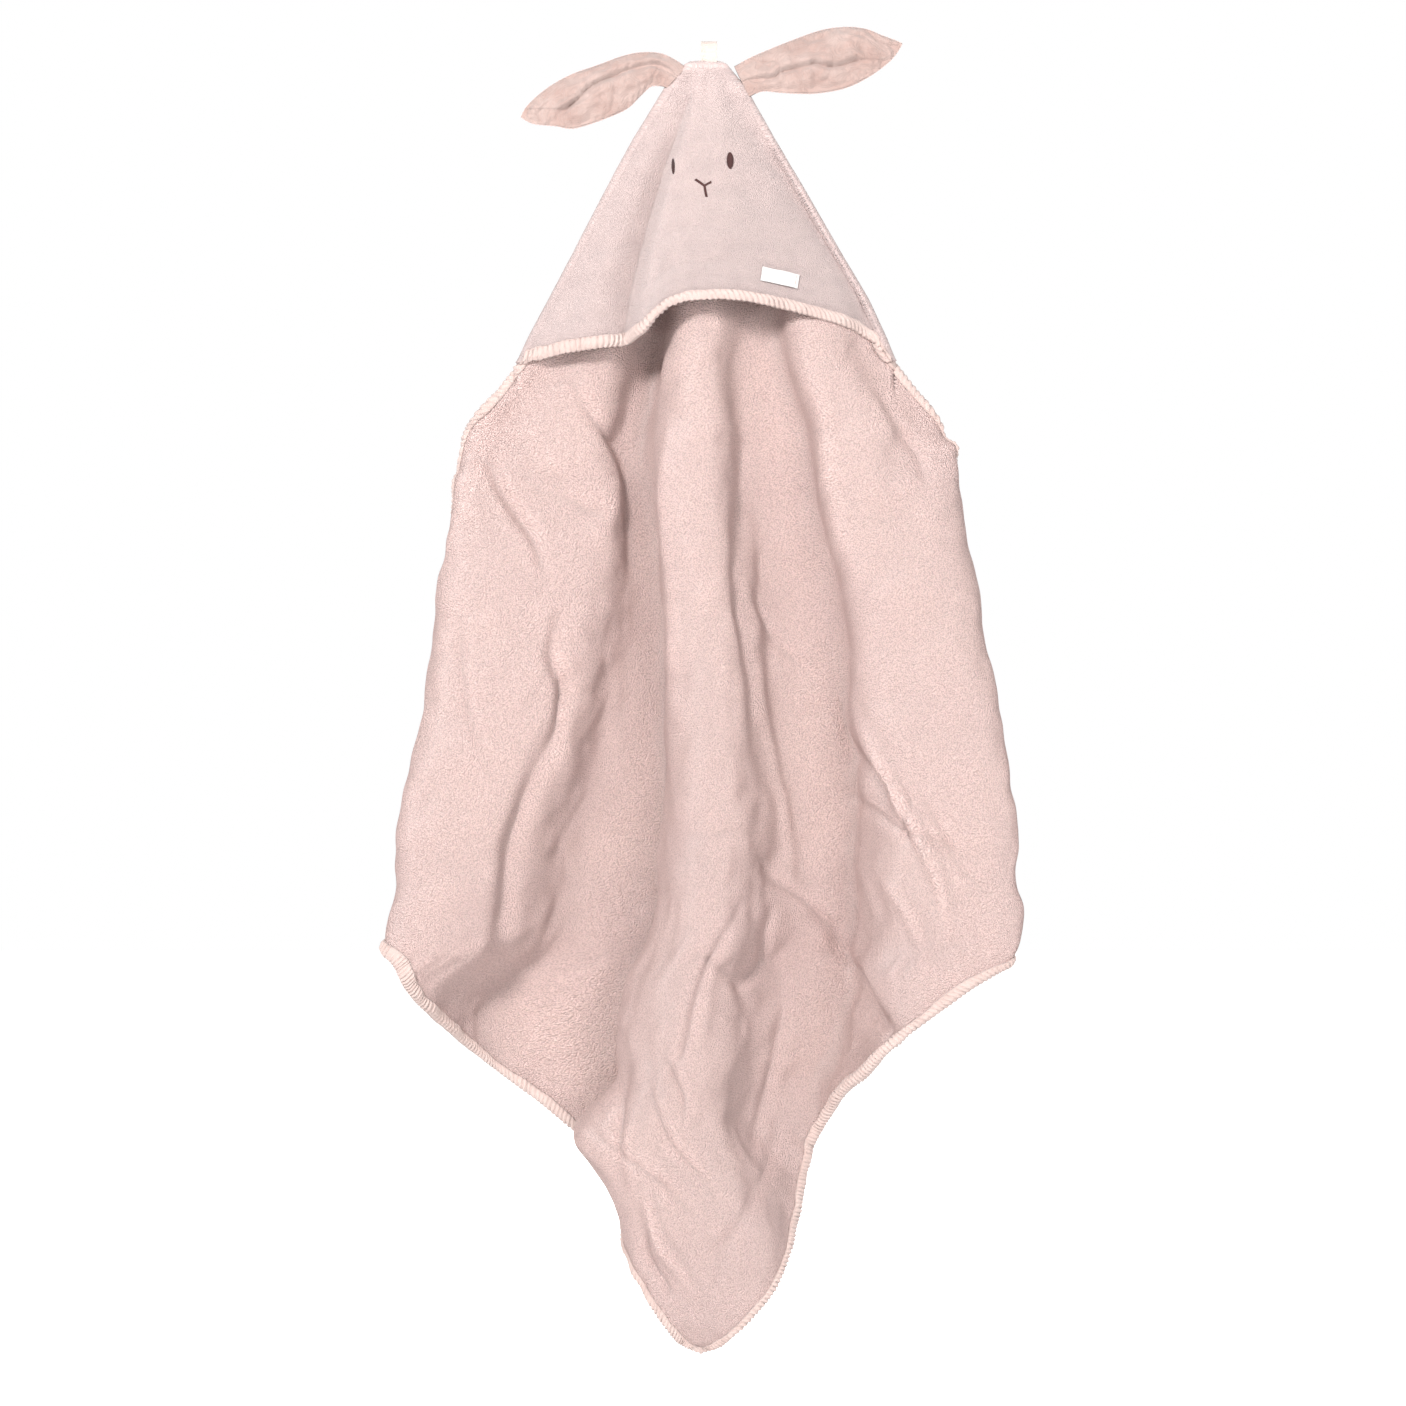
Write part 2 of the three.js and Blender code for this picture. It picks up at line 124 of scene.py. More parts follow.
def refine(grid, rows, columns):
    """A grid of points resampled along smooth curves through them."""
    for axis, count in ((0, rows), (1, columns)):
        n = grid.shape[axis]
        first = 2 * np.take(grid, [0], axis) - np.take(grid, [1], axis)
        last = 2 * np.take(grid, [n - 1], axis) - np.take(grid, [n - 2], axis)
        longer = np.concatenate([first, grid, last], axis)
        g = np.linspace(0, n - 1, count)
        k = np.minimum(g.astype(int), n - 2)
        t = (g - k).reshape([-1 if d == axis else 1 for d in range(grid.ndim)])
        p = [np.take(longer, k + m, axis) for m in range(4)]
        grid = 0.5 * (2 * p[1] + (p[2] - p[0]) * t + (2 * p[0] - 5 * p[1] + 4 * p[2] - p[3]) * t**2
                      + (3 * p[1] - p[0] - 3 * p[2] + p[3]) * t**3)
    return grid


def hill(x, width):
    """A smooth bell of height 1 round x = 0."""
    return np.exp(-((x / width) ** 2))


def outline_x(z, side):
    """Where the outline is at height z, on the left (side -1) or the right (side 1)."""
    return track(z, [(r[0], r[1 if side < 0 else 2]) for r in OUTLINE])


def run_along(line):
    """Distance from the start of a line of points to each of them."""
    return np.concatenate([[0], np.cumsum(np.linalg.norm(np.diff(line, axis=0), axis=1))])


def unit(v):
    return v / np.maximum(np.linalg.norm(v, axis=-1, keepdims=True), 1e-12)


def facing(points):
    """Front-facing normals of a grid: its first index runs down to the left, its second to the right."""
    return unit(np.cross(np.gradient(points, axis=0), np.gradient(points, axis=1)))


def at_grid(field, a, b):
    """Value of a grid of vectors at fractional places a, b from 0 to 1."""
    n, m = field.shape[:2]
    a, b = np.clip(a, 0, 1) * (n - 1), np.clip(b, 0, 1) * (m - 1)
    i, j = np.minimum(a.astype(int), n - 2), np.minimum(b.astype(int), m - 2)
    f, g = (a - i)[..., None], (b - j)[..., None]
    return ((field[i, j] * (1 - f) + field[i + 1, j] * f) * (1 - g)
            + (field[i, j + 1] * (1 - f) + field[i + 1, j + 1] * f) * g)


def add_object(name, data):
    added = bpy.data.objects.new(name, data)
    bpy.context.scene.collection.objects.link(added)
    return added


def make_piece(name, points, faces, material, uv=None, normals=None, rim_start=0):
    """A closed mesh with its faces turned outwards; faces from rim_start on are a rim, shaded flat."""
    points = np.asarray(points, float)
    volume = 0.0
    for size in {len(f) for f in faces}:
        block = np.array([f for f in faces if len(f) == size])
        for k in range(1, size - 1):
            a, b, c = points[block[:, 0]], points[block[:, k]], points[block[:, k + 1]]
            volume += float((a * np.cross(b, c)).sum())
    if volume < 0:
        faces = [tuple(reversed(f)) for f in faces]
    mesh = bpy.data.meshes.new(name)
    mesh.from_pydata(points.tolist(), [], faces)
    mesh.update()
    mesh.shade_smooth()
    loops = np.empty(len(mesh.loops), int)
    mesh.loops.foreach_get("vertex_index", loops)
    if uv is not None:
        mesh.uv_layers.new(name="flat").data.foreach_set("uv", np.asarray(uv)[loops].ravel())
    if normals is not None:
        shading = unit(np.asarray(normals))[loops]
        face_normals = np.empty(3 * len(mesh.polygons))
        mesh.polygons.foreach_get("normal", face_normals)
        shading[4 * rim_start:] = face_normals.reshape(-1, 3)[rim_start:].repeat(4, axis=0)
        mesh.normals_split_custom_set(shading.tolist())
    mesh.materials.append(material)
    return add_object(name, mesh)


def panel(name, points, normals, uv, cells, thick, material):
    """Cloth of that thickness on the cells of a grid that are set, with its rim closed."""
    rows, columns = points.shape[:2]
    i, j = np.nonzero(cells)
    corner = lambda di, dj: (i + di) * columns + (j + dj)
    quads = np.stack([corner(0, 0), corner(1, 0), corner(1, 1), corner(0, 1)], 1)
    used, local = np.unique(quads, return_inverse=True)
    quads = local.reshape(-1, 4)
    n = len(used)
    p, m = points.reshape(-1, 3)[used], normals.reshape(-1, 3)[used]
    flat = uv.reshape(-1, 2)[used]
    starts = quads.ravel()
    ends = np.roll(quads, -1, axis=1).ravel()
    key = np.minimum(starts, ends) * n + np.maximum(starts, ends)
    _, back, count = np.unique(key, return_inverse=True, return_counts=True)
    rim = count[back.reshape(-1)] == 1
    a, b = starts[rim], ends[rim]
    faces = np.concatenate([quads, quads[:, ::-1] + n, np.stack([b, a, a + n, b + n], 1)])
    return make_piece(name, np.concatenate([p + m * thick / 2, p - m * thick / 2]),
                      [tuple(f) for f in faces.tolist()], material,
                      uv=np.concatenate([flat, flat]), normals=np.concatenate([m, -m]),
                      rim_start=2 * len(quads))


def tube(name, rings, material):
    """Rings of points joined into a closed tube, its two ends closed."""
    n, m = rings.shape[:2]
    k = np.arange(n * m).reshape(n, m)
    nxt = np.roll(k, -1, axis=1)
    faces = np.stack([k[:-1], nxt[:-1], nxt[1:], k[1:]], -1).reshape(-1, 4).tolist()
    faces = [tuple(f) for f in faces] + [tuple(reversed(k[0].tolist())), tuple(k[-1].tolist())]
    return make_piece(name, rings.reshape(-1, 3), faces, material)


# ---- The terry square, hung by cloth simulation ----
def cut_place(s, t):
    """Flat place of sewn coordinates s, t: the three free corners are rounded."""
    a, b = np.array(s, float), np.array(t, float)
    inner = HANG_SIDE - CORNER
    for ca, cb, da, db in ((inner, inner, 1, 1), (inner, CORNER, 1, -1), (CORNER, inner, -1, 1)):
        u, v = (a - ca) * da / CORNER, (b - cb) * db / CORNER
        m = (u > 0) & (v > 0)
        ru, rv = u * np.sqrt(np.clip(1 - v * v / 2, 0, 1)), v * np.sqrt(np.clip(1 - u * u / 2, 0, 1))
        a[m], b[m] = (ca + da * CORNER * ru)[m], (cb + db * CORNER * rv)[m]
    return a, b


def hang_towel(n, frames, settle):
    """Points of the hung square, as an n by n grid: s down the left upper edge, t down the right."""
    cell = HANG_SIDE / (n - 1)
    s, t = np.meshgrid(np.linspace(0, HANG_SIDE, n), np.linspace(0, HANG_SIDE, n), indexing="ij")
    a, b = cut_place(s, t)
    x, z = ((b - a) / math.sqrt(2)).ravel(), (-(a + b) / math.sqrt(2)).ravel()
    down = -z
    # Two valleys are started on either side of the middle, and the wing corners turned back.
    left = -(0.022 + 0.115 * ease(down / 0.45) + 0.02 * ease((down - 0.45) / 0.5))
    right = 0.022 + 0.125 * ease(down / 0.45) + 0.05 * ease((down - 0.45) / 0.5)
    hollow = lambda at, width: hill(x - at, width)
    y = 0.02 * (hollow(left, 0.028) + hollow(right, 0.028))
    y -= 0.008 * hollow((left + right) / 2, 0.06) * ease((down - 0.15) / 0.2)
    y = (y + 0.012 * ease((np.abs(x) - 0.30) / 0.15)) * ease(down / 0.08)
    start = np.stack([x, y, z], 1)
    spot = np.arange(n * n).reshape(n, n)

    held = {}  # points that stay where they are put
    for (cx, cz), side in zip(CLIP_POINTS, (-1, 1)):
        clip = np.array([cx, 0, cz])
        reach = np.linalg.norm(clip)
        for k in range(n):
            if abs(k * cell - reach) < 0.014:
                for row in (0, 1):
                    q = spot[k, row] if side < 0 else spot[row, k]
                    inwards = np.array([-side * 0.80, 0, -0.60]) * cell * row
                    held[int(q)] = clip * (k * cell / reach) + inwards
    for q in np.nonzero((np.abs(x) < 0.013) & (down < 0.03))[0]:
        held[int(q)] = np.array([x[q], 0, z[q]])

    led = {}  # points drawn softly to where the folds, corners and tip hang
    valleys = (
        (((0.05, -0.022), (0.20, -0.068), (0.50, -0.105), (0.70, -0.128), (0.86, -0.135)),
         ((0.05, -0.018), (0.20, -0.044), (0.50, -0.052), (0.70, -0.067), (0.86, -0.072))),
        (((0.05, 0.022), (0.20, 0.070), (0.50, 0.140), (0.70, 0.185), (0.79, 0.200)),
         ((0.05, 0.020), (0.20, 0.046), (0.50, 0.091), (0.70, 0.128), (0.79, 0.140))))
    for sewn, hung in valleys:
        off = x - track(down, sewn)
        near = (down > 0.08) & (down < sewn[-1][0]) & (np.abs(off) < cell * 0.75)
        for q in np.nonzero(near)[0]:
            led[int(q)] = np.array([track(down[q], hung) + off[q] * 0.7,
                                    0.03 * ease((down[q] - 0.08) / 0.2), z[q] * 0.995])
    turn = math.radians(32)
    for (s0, t0), target, side in (((HANG_SIDE, 0), (-0.236, 0.02, -0.668), -1),
                                   ((0, HANG_SIDE), (0.228, 0.02, -0.668), 1)):
        tip = start[spot[-1, 0] if side < 0 else spot[0, -1]]
        for q in np.nonzero(np.hypot(s.ravel() - s0, t.ravel() - t0) < 0.06)[0]:
            off, c, d = start[q] - tip, math.cos(turn * side), math.sin(turn * side)
            led[int(q)] = np.array(target) + (off[0] * c + off[2] * d, 0, off[2] * c - off[0] * d)
    for q in np.nonzero(np.hypot(s.ravel() - HANG_SIDE, t.ravel() - HANG_SIDE) < 0.04)[0]:
        led[int(q)] = np.array([-0.008, -0.05, -0.978]) + (start[q] - start[spot[-1, -1]]) * (0.9, 0, 1)
    led = {q: p for q, p in led.items() if q not in held}

    faces = [(int(spot[i, j]), int(spot[i + 1, j]), int(spot[i + 1, j + 1]), int(spot[i, j + 1]))
             for i in range(n - 1) for j in range(n - 1)]
    mesh = bpy.data.meshes.new("hanging_square")
    mesh.from_pydata(start.tolist(), [], faces)
    cloth_object = add_object("hanging_square", mesh)
    cloth_object.shape_key_add(name="flat")
    hung_key = cloth_object.shape_key_add(name="hung")
    for q, p in {**led, **held}.items():
        hung_key.data[q].co = p
    for value, at in ((0.0, 1), (1.0, settle)):
        hung_key.value = value
        hung_key.keyframe_insert("value", frame=at)
    group = cloth_object.vertex_groups.new(name="hold")
    group.add(list(held), 1.0, "REPLACE")
    group.add(list(led), 0.15, "REPLACE")
    cloth = cloth_object.modifiers.new("terry", "CLOTH")
    fabric = cloth.settings
    fabric.quality = 6
    fabric.mass = 0.02
    fabric.tension_stiffness = fabric.compression_stiffness = 60
    fabric.shear_stiffness = 18
    fabric.bending_stiffness = 5
    fabric.tension_damping = fabric.compression_damping = fabric.shear_damping = 5
    fabric.bending_damping = 0.5
    fabric.air_damping = 0.7
    fabric.vertex_group_mass = "hold"
    fabric.pin_stiffness = 1.0
    cloth.collision_settings.use_collision = False
    cloth.point_cache.frame_start, cloth.point_cache.frame_end = 1, frames
    scene = bpy.context.scene
    scene.frame_start, scene.frame_end = 1, frames
    for f in range(1, frames + 1):
        scene.frame_set(f)
    settled = cloth_object.evaluated_get(bpy.context.evaluated_depsgraph_get())
    points = np.empty(n * n * 3)
    settled.data.vertices.foreach_get("co", points)
    bpy.data.objects.remove(cloth_object)
    bpy.data.meshes.remove(mesh)
    scene.frame_set(1)
    return points.reshape(n, n, 3) + (0, 0, PEAK)


# The left valley hangs nearer the middle than the simulated one: height and distance, height and place.
VALLEY_SHIFT = ((-0.30, 0.0), (-0.40, 0.010), (-0.50, 0.020), (-0.60, 0.026), (-0.70, 0.034),
                (-0.78, 0.030), (-0.84, 0.0))
VALLEY_AT = ((-0.40, -0.062), (-0.50, -0.068), (-0.60, -0.075), (-0.70, -0.098), (-0.78, -0.098))
VALLEY_WIDTH = 0.060
DEEPEST = 0.058  # how far the folds go forward or back of the middle
STRETCH_BELOW = -0.6  # below this height the cloth is drawn down or up to the tip


def fit_outline(points):
    """Eases each height of the hung cloth sideways to the outline, and its depth into the space."""
    points = points.copy()
    z, bottom = points[..., 2], points[..., 2].min()
    drawn = STRETCH_BELOW + (z - STRETCH_BELOW) * (TIP - STRETCH_BELOW) / (bottom - STRETCH_BELOW)
    points[..., 2] = np.where(z < STRETCH_BELOW, drawn, z)
    dense = refine(points, 2 * len(points), 2 * len(points)).reshape(-1, 3)
    levels = np.linspace(-0.99, -0.04, 191)
    spans = []
    for level in levels:
        row = dense[np.abs(dense[:, 2] - level) < 0.0025, 0]
        spans.append((row.min(), row.max()) if len(row) > 4 else (np.nan, np.nan))
    spans = np.array(spans)
    found = ~np.isnan(spans[:, 0])
    spans = np.stack([np.interp(levels, levels[found], spans[found, k]) for k in (0, 1)], 1)
    wanted = np.stack([outline_x(levels, side) for side in (-1, 1)], 1)
    widest = np.where(levels < -0.9, 3.0, 1.6)
    scale = np.clip((wanted[:, 1] - wanted[:, 0]) / (spans[:, 1] - spans[:, 0]), 0.3, widest)
    shift = wanted.mean(1) - spans.mean(1) * scale
    kernel = np.exp(-0.5 * (np.arange(-6, 7) / 1.5) ** 2)
    soften = lambda v: np.convolve(np.pad(v, 6, mode="edge"), kernel / kernel.sum(), "valid")
    x, y, z = points[..., 0], points[..., 1], points[..., 2]
    x = x * np.interp(z, levels, soften(scale)) + np.interp(z, levels, soften(shift))
    clear = ease((x - outline_x(z, -1)) / 0.07)
    x = x + track(z, VALLEY_SHIFT) * hill(x - track(z, VALLEY_AT), VALLEY_WIDTH) * clear
    y = DEEPEST * np.tanh((y + 0.008 * ease((-z - 0.25) / 0.2)) / 0.062)
    return np.stack([x, y, z], -1)


hung = hang_towel(64, 130, 40)


# ---- The towel's surface: its turned-back edges, and its small creases ----
CELLS = 270  # along each side of the square
towel = refine(hung, CELLS + 1, CELLS + 1)
ticks = np.linspace(0, SIDE, CELLS + 1)
sewn_s, sewn_t = np.meshgrid(ticks, ticks, indexing="ij")


def turn_back(points, along, inward, start, end, radius, most):
    """Curls an edge behind the cloth between two distances along it, by most radians at that radius."""
    axis = 0 if inward is sewn_s else 1
    outward = -unit(np.gradient(points, axis=axis))
    behind = -facing(points)
    share = ease((along - start) / 0.035) * ease((end - along) / 0.050)
    depth = radius * most
    angle = np.clip((depth - inward) / radius, 0, most) * share
    line = np.array([int(round(depth / SIDE * CELLS))])
    at, out, back = (np.take(field, line, axis) for field in (points, outward, behind))
    beyond = radius * np.sin(angle) + np.maximum(depth - inward, 0) - radius * angle
    curled = at + out * beyond[..., None] + back * (radius * (1 - np.cos(angle)))[..., None]
    curled = curled * share[..., None] + points * (1 - share[..., None])
    return np.where((inward < depth)[..., None], curled, points)


towel = turn_back(towel, sewn_s, sewn_t, 0.282, 0.690, 0.009, 2.4)
towel = turn_back(towel, sewn_t, sewn_s, 0.286, 0.680, 0.010, 1.5)
towel = fit_outline(towel)
CREASES = (  # each: across and height of its two ends, its depth, its width
    (0.023, -0.357, 0.060, -0.635, -0.0026, 0.0050), (0.115, -0.500, 0.180, -0.666, -0.0050, 0.0040),
    (-0.164, -0.310, -0.118, -0.410, 0.0040, 0.0055), (-0.104, -0.250, -0.058, -0.325, 0.0034, 0.0055),
    (-0.118, -0.425, -0.106, -0.505, 0.0045, 0.0060), (-0.100, -0.470, -0.124, -0.545, 0.0036, 0.0050),
    (-0.028, -0.586, 0.040, -0.600, 0.0014, 0.0050), (0.026, -0.635, -0.038, -0.790, 0.0026, 0.0045),
    (0.050, -0.650, 0.022, -0.712, 0.0028, 0.0045), (-0.068, -0.735, -0.060, -0.865, 0.0036, 0.0050),
    (-0.052, -0.850, -0.010, -0.935, -0.0034, 0.0040), (-0.028, -0.745, -0.020, -0.805, 0.0026, 0.0045),
    (0.100, -0.490, 0.132, -0.580, 0.0034, 0.0045), (0.025, -0.405, 0.080, -0.490, 0.0020, 0.0040),
    (0.070, -0.235, 0.112, -0.410, -0.0030, 0.0070), (0.095, -0.555, 0.200, -0.618, 0.0026, 0.0040),
    (-0.100, -0.795, -0.005, -0.880, 0.0024, 0.0045), (0.078, -0.650, 0.138, -0.745, 0.0085, 0.0070),
    (-0.118, -0.500, -0.166, -0.700, 0.0050, 0.0080), (-0.028, -0.280, -0.030, -0.530, -0.0024, 0.0045),
    (0.020, -0.285, 0.029, -0.530, 0.0028, 0.0045), (0.058, -0.805, 0.005, -0.910, 0.0022, 0.0050),
    (0.118, -0.240, 0.166, -0.345, 0.0030, 0.0055), (0.150, -0.560, 0.205, -0.640, 0.0024, 0.0040),
    (-0.190, -0.420, -0.165, -0.560, 0.0022, 0.0060), (0.060, -0.690, 0.030, -0.860, 0.0026, 0.0060),
    (-0.046, -0.880, -0.030, -0.935, 0.0030, 0.0040), (0.130, -0.620, 0.165, -0.690, -0.0030, 0.0045),
    (0.032, -0.606, 0.090, -0.668, 0.0022, 0.0036), (-0.016, -0.672, 0.026, -0.714, 0.0019, 0.0035),
    (0.135, -0.545, 0.152, -0.600, 0.0024, 0.0036), (-0.052, -0.771, 0.004, -0.861, 0.0020, 0.0036))
CREASE_DEPTH = 1.65  # share of the depths above
normal = facing(towel)
lift = 0.0023 * bumps(sewn_s, sewn_t, 0.034, 3) + 0.0011 * bumps(sewn_s, sewn_t, 0.014, 4)
for ax, az, bx, bz, depth, width in CREASES:
    ex, ez = bx - ax, bz - az
    f = ((towel[..., 0] - ax) * ex + (towel[..., 2] - az) * ez) / (ex * ex + ez * ez)
    away = ((towel[..., 0] - ax) * ez - (towel[..., 2] - az) * ex) / math.hypot(ex, ez)
    away = away + 0.0035 * np.sin(f * 6 + ax * 90) + 0.002 * bumps(f * 4, ax * 50 + 0 * f, 1.0, 5)
    lift -= CREASE_DEPTH * depth * hill(away, width) * np.sin(math.pi * np.clip(f, 0, 1)) ** 0.8
towel = towel + normal * lift[..., None]
normal = facing(towel)
towel_uv = np.stack([sewn_s, sewn_t], -1)

centre = (towel[:-1, :-1] + towel[1:, 1:]) / 2
BACK_END, WING_START, CORNER_START = -0.264, 0.152, -0.833
is_back = centre[..., 2] > BACK_END
is_corner = centre[..., 2] < CORNER_START
is_left = ~is_back & ~is_corner & (centre[..., 0] < -WING_START)
is_right = ~is_back & ~is_corner & (centre[..., 0] > WING_START)
is_middle = ~(is_back | is_corner | is_left | is_right)
FOLDS = {  # how each part of the towel follows the folds: two bodies, start and end of the bend
    "back": ("hood", "drape", (0, 0, -0.230), (0, 0, -0.262)),
    "left": ("drape", "left_wing", (-0.154, 0, -0.5), (-0.187, 0, -0.5)),
    "right": ("drape", "right_wing", (0.154, 0, -0.5), (0.187, 0, -0.5)),
    "corner": ("drape", "bottom_corner", (0, 0, -0.835), (0, 0, -0.867)),
    "left_ear": ("hood", "left_ear", (-0.0240, 0, -0.0263), (-0.0312, 0, -0.0193)),
    "right_ear": ("hood", "right_ear", (0.0205, 0, -0.0313), (0.0277, 0, -0.0243)),
}


def follow(piece, part):
    """The piece rides one body; a piece from a part of the towel that folds is only fixed where it lies."""
    if part in FOLDS:
        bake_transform(piece)
    else:
        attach(piece, part)


# ---- Finishes ----
def colour(red, green, blue):
    """Display values from 0 to 255 as a shader colour."""
    linear = lambda c: c / 12.92 if c <= 0.04045 else ((c + 0.055) / 1.055) ** 2.4
    return (*(linear(c / 255) for c in (red, green, blue)), 1.0)


class Graph:
    """Adds and joins the nodes of one tree."""

    def __init__(self, tree):
        self.tree = tree

    def add(self, kind, values=(), **settings):
        node = self.tree.nodes.new(kind)
        for key, value in settings.items():
            setattr(node, key, value)
        for key, value in dict(values).items():
            if isinstance(value, bpy.types.NodeSocket):
                self.tree.links.new(value, node.inputs[key])
            else:
                node.inputs[key].default_value = value
        return node

    def math(self, operation, *values):
        return self.add("ShaderNodeMath", enumerate(values), operation=operation).outputs[0]

    def blend(self, factor, a, b, mode="MIX"):
        mix = self.add("ShaderNodeMix", {0: factor, 6: a, 7: b}, data_type="RGBA", blend_type=mode)
        return mix.outputs[2]


def shader_group(name, inputs, outputs):
    tree = bpy.data.node_groups.new(name, "ShaderNodeTree")
    for label, kind, value in inputs:
        socket = tree.interface.new_socket(name=label, in_out="INPUT", socket_type="NodeSocket" + kind)
        if value is not None:
            socket.default_value = value
    for label, kind in outputs:
        tree.interface.new_socket(name=label, in_out="OUTPUT", socket_type="NodeSocket" + kind)
    graph = Graph(tree)
    return tree, graph, graph.add("NodeGroupInput").outputs, graph.add("NodeGroupOutput")


def make_loops_group():
    """Terry: looped pile in uneven tufts, with pits between them."""
    tree, g, given, out = shader_group(
        "terry_loops",
        [("Cloth", "Vector", None), ("Loop Size", "Float", 0.0026), ("Unevenness", "Float", 0.5)],
        [("Height", "Float"), ("Pits", "Float")])
    scale = g.math("DIVIDE", 1.0, given["Loop Size"])
    wander = g.add("ShaderNodeTexNoise", {"Vector": given["Cloth"], "Scale": 520.0, "Detail": 2.0})
    shifted = g.add("ShaderNodeVectorMath", {0: wander.outputs["Color"], 1: (0.0009, 0.0009, 0.0)},
                    operation="MULTIPLY")
    place = g.add("ShaderNodeVectorMath", {0: given["Cloth"], 1: shifted.outputs[0]}, operation="ADD")
    tufts = g.add("ShaderNodeTexVoronoi", {"Vector": place.outputs[0], "Scale": scale},
                  voronoi_dimensions="2D")
    fine = g.add("ShaderNodeTexVoronoi",
                 {"Vector": place.outputs[0], "Scale": g.math("MULTIPLY", scale, 2.3)},
                 voronoi_dimensions="2D")
    patches = g.add("ShaderNodeTexNoise", {
        "Vector": given["Cloth"], "Scale": g.math("MULTIPLY", scale, 0.35), "Detail": 3.0})
    big = g.math("SUBTRACT", 1.0, tufts.outputs["Distance"])
    small = g.math("MULTIPLY", fine.outputs["Distance"], 0.35)
    uneven = g.math("MULTIPLY", patches.outputs[0], given["Unevenness"])
    height = g.math("ADD", g.math("SUBTRACT", big, small), uneven)
    pits = g.add("ShaderNodeMapRange", {0: height, 1: 0.95, 2: 0.45})
    g.tree.links.new(height, out.inputs["Height"])
    g.tree.links.new(pits.outputs[0], out.inputs["Pits"])
    return tree


def make_weave_group():
    """Plain weave: over and under threads across both ways of the cloth."""
    tree, g, given, out = shader_group(
        "plain_weave", [("Cloth", "Vector", None), ("Thread Pitch", "Float", 0.0007)],
        [("Height", "Float"), ("Gaps", "Float")])
    scale = g.math("DIVIDE", math.pi, given["Thread Pitch"])
    parts = g.add("ShaderNodeSeparateXYZ", {0: given["Cloth"]})
    across = g.math("SINE", g.math("MULTIPLY", parts.outputs[0], scale))
    along = g.math("SINE", g.math("MULTIPLY", parts.outputs[1], scale))
    woven = g.math("ABSOLUTE", g.math("MULTIPLY", across, along))
    slubs = g.add("ShaderNodeTexNoise", {"Vector": given["Cloth"], "Scale": 700.0, "Detail": 3.0})
    height = g.math("ADD", woven, slubs.outputs[0])
    g.tree.links.new(height, out.inputs["Height"])
    g.tree.links.new(g.math("SUBTRACT", 1.0, woven), out.inputs["Gaps"])
    return tree


def make_tone_group():
    """Dyed cloth that has been washed: soft patches between two tones, and a fine heather."""
    tree, g, given, out = shader_group(
        "washed_dye",
        [("Cloth", "Vector", None), ("Light Tone", "Color", None), ("Deep Tone", "Color", None),
         ("Patch Size", "Float", 0.06), ("Heather", "Float", 0.3)],
        [("Colour", "Color")])
    patches = g.add("ShaderNodeTexNoise", {
        "Vector": given["Cloth"], "Scale": g.math("DIVIDE", 1.0, given["Patch Size"]),
        "Detail": 4.0, "Roughness": 0.6})
    heather = g.add("ShaderNodeTexNoise", {"Vector": given["Cloth"], "Scale": 420.0, "Detail": 2.0})
    soft = g.add("ShaderNodeMapRange", {0: patches.outputs[0], 1: 0.3, 2: 0.7})
    fleck = g.math("MULTIPLY", g.math("SUBTRACT", heather.outputs[0], 0.5), given["Heather"])
    share = g.math("ADD", soft.outputs[0], fleck)
    share.node.use_clamp = True
    g.tree.links.new(g.blend(share, given["Light Tone"], given["Deep Tone"]), out.inputs["Colour"])
    return tree


LOOPS, WEAVE, DYE = make_loops_group(), make_weave_group(), make_tone_group()


def cloth_finish(name, light, deep, surface, size, bump, shadow=0.35, patch=0.06, heather=0.3,
                 sheen=0.3, flat=True):
    """A cloth material: surface is the loops or weave group, size its loop or thread in metres,
    bump its height, shadow how much its pits darken. A flat one is laid out on the cut cloth."""
    material = bpy.data.materials.new(name)
    material.use_nodes = True
    g = Graph(material.node_tree)
    principled = material.node_tree.nodes["Principled BSDF"]
    if flat:
        cloth = g.add("ShaderNodeUVMap", uv_map="flat").outputs[0]
    else:
        cloth = g.add("ShaderNodeTexCoord").outputs["Object"]
    dye = g.add("ShaderNodeGroup", node_tree=DYE)
    structure = g.add("ShaderNodeGroup", node_tree=surface)
    for group in (dye, structure):
        g.tree.links.new(cloth, group.inputs["Cloth"])
    dye.inputs["Light Tone"].default_value = light
    dye.inputs["Deep Tone"].default_value = deep
    dye.inputs["Patch Size"].default_value = patch
    dye.inputs["Heather"].default_value = heather
    structure.inputs[1].default_value = size
    dips = g.math("MULTIPLY", structure.outputs[1], shadow)
    shaded = g.blend(dips, dye.outputs[0], (deep[0] * 0.52, deep[1] * 0.42, deep[2] * 0.40, 1.0))
    relief = g.add("ShaderNodeBump", {
        "Height": structure.outputs["Height"], "Strength": 1.0, "Distance": bump})
    g.tree.links.new(shaded, principled.inputs["Base Color"])
    g.tree.links.new(relief.outputs[0], principled.inputs["Normal"])
    principled.inputs["Roughness"].default_value = 0.92
    principled.inputs["Specular IOR Level"].default_value = 0.15
    principled.inputs["Sheen Weight"].default_value = sheen
    principled.inputs["Sheen Roughness"].default_value = 0.6
    return material


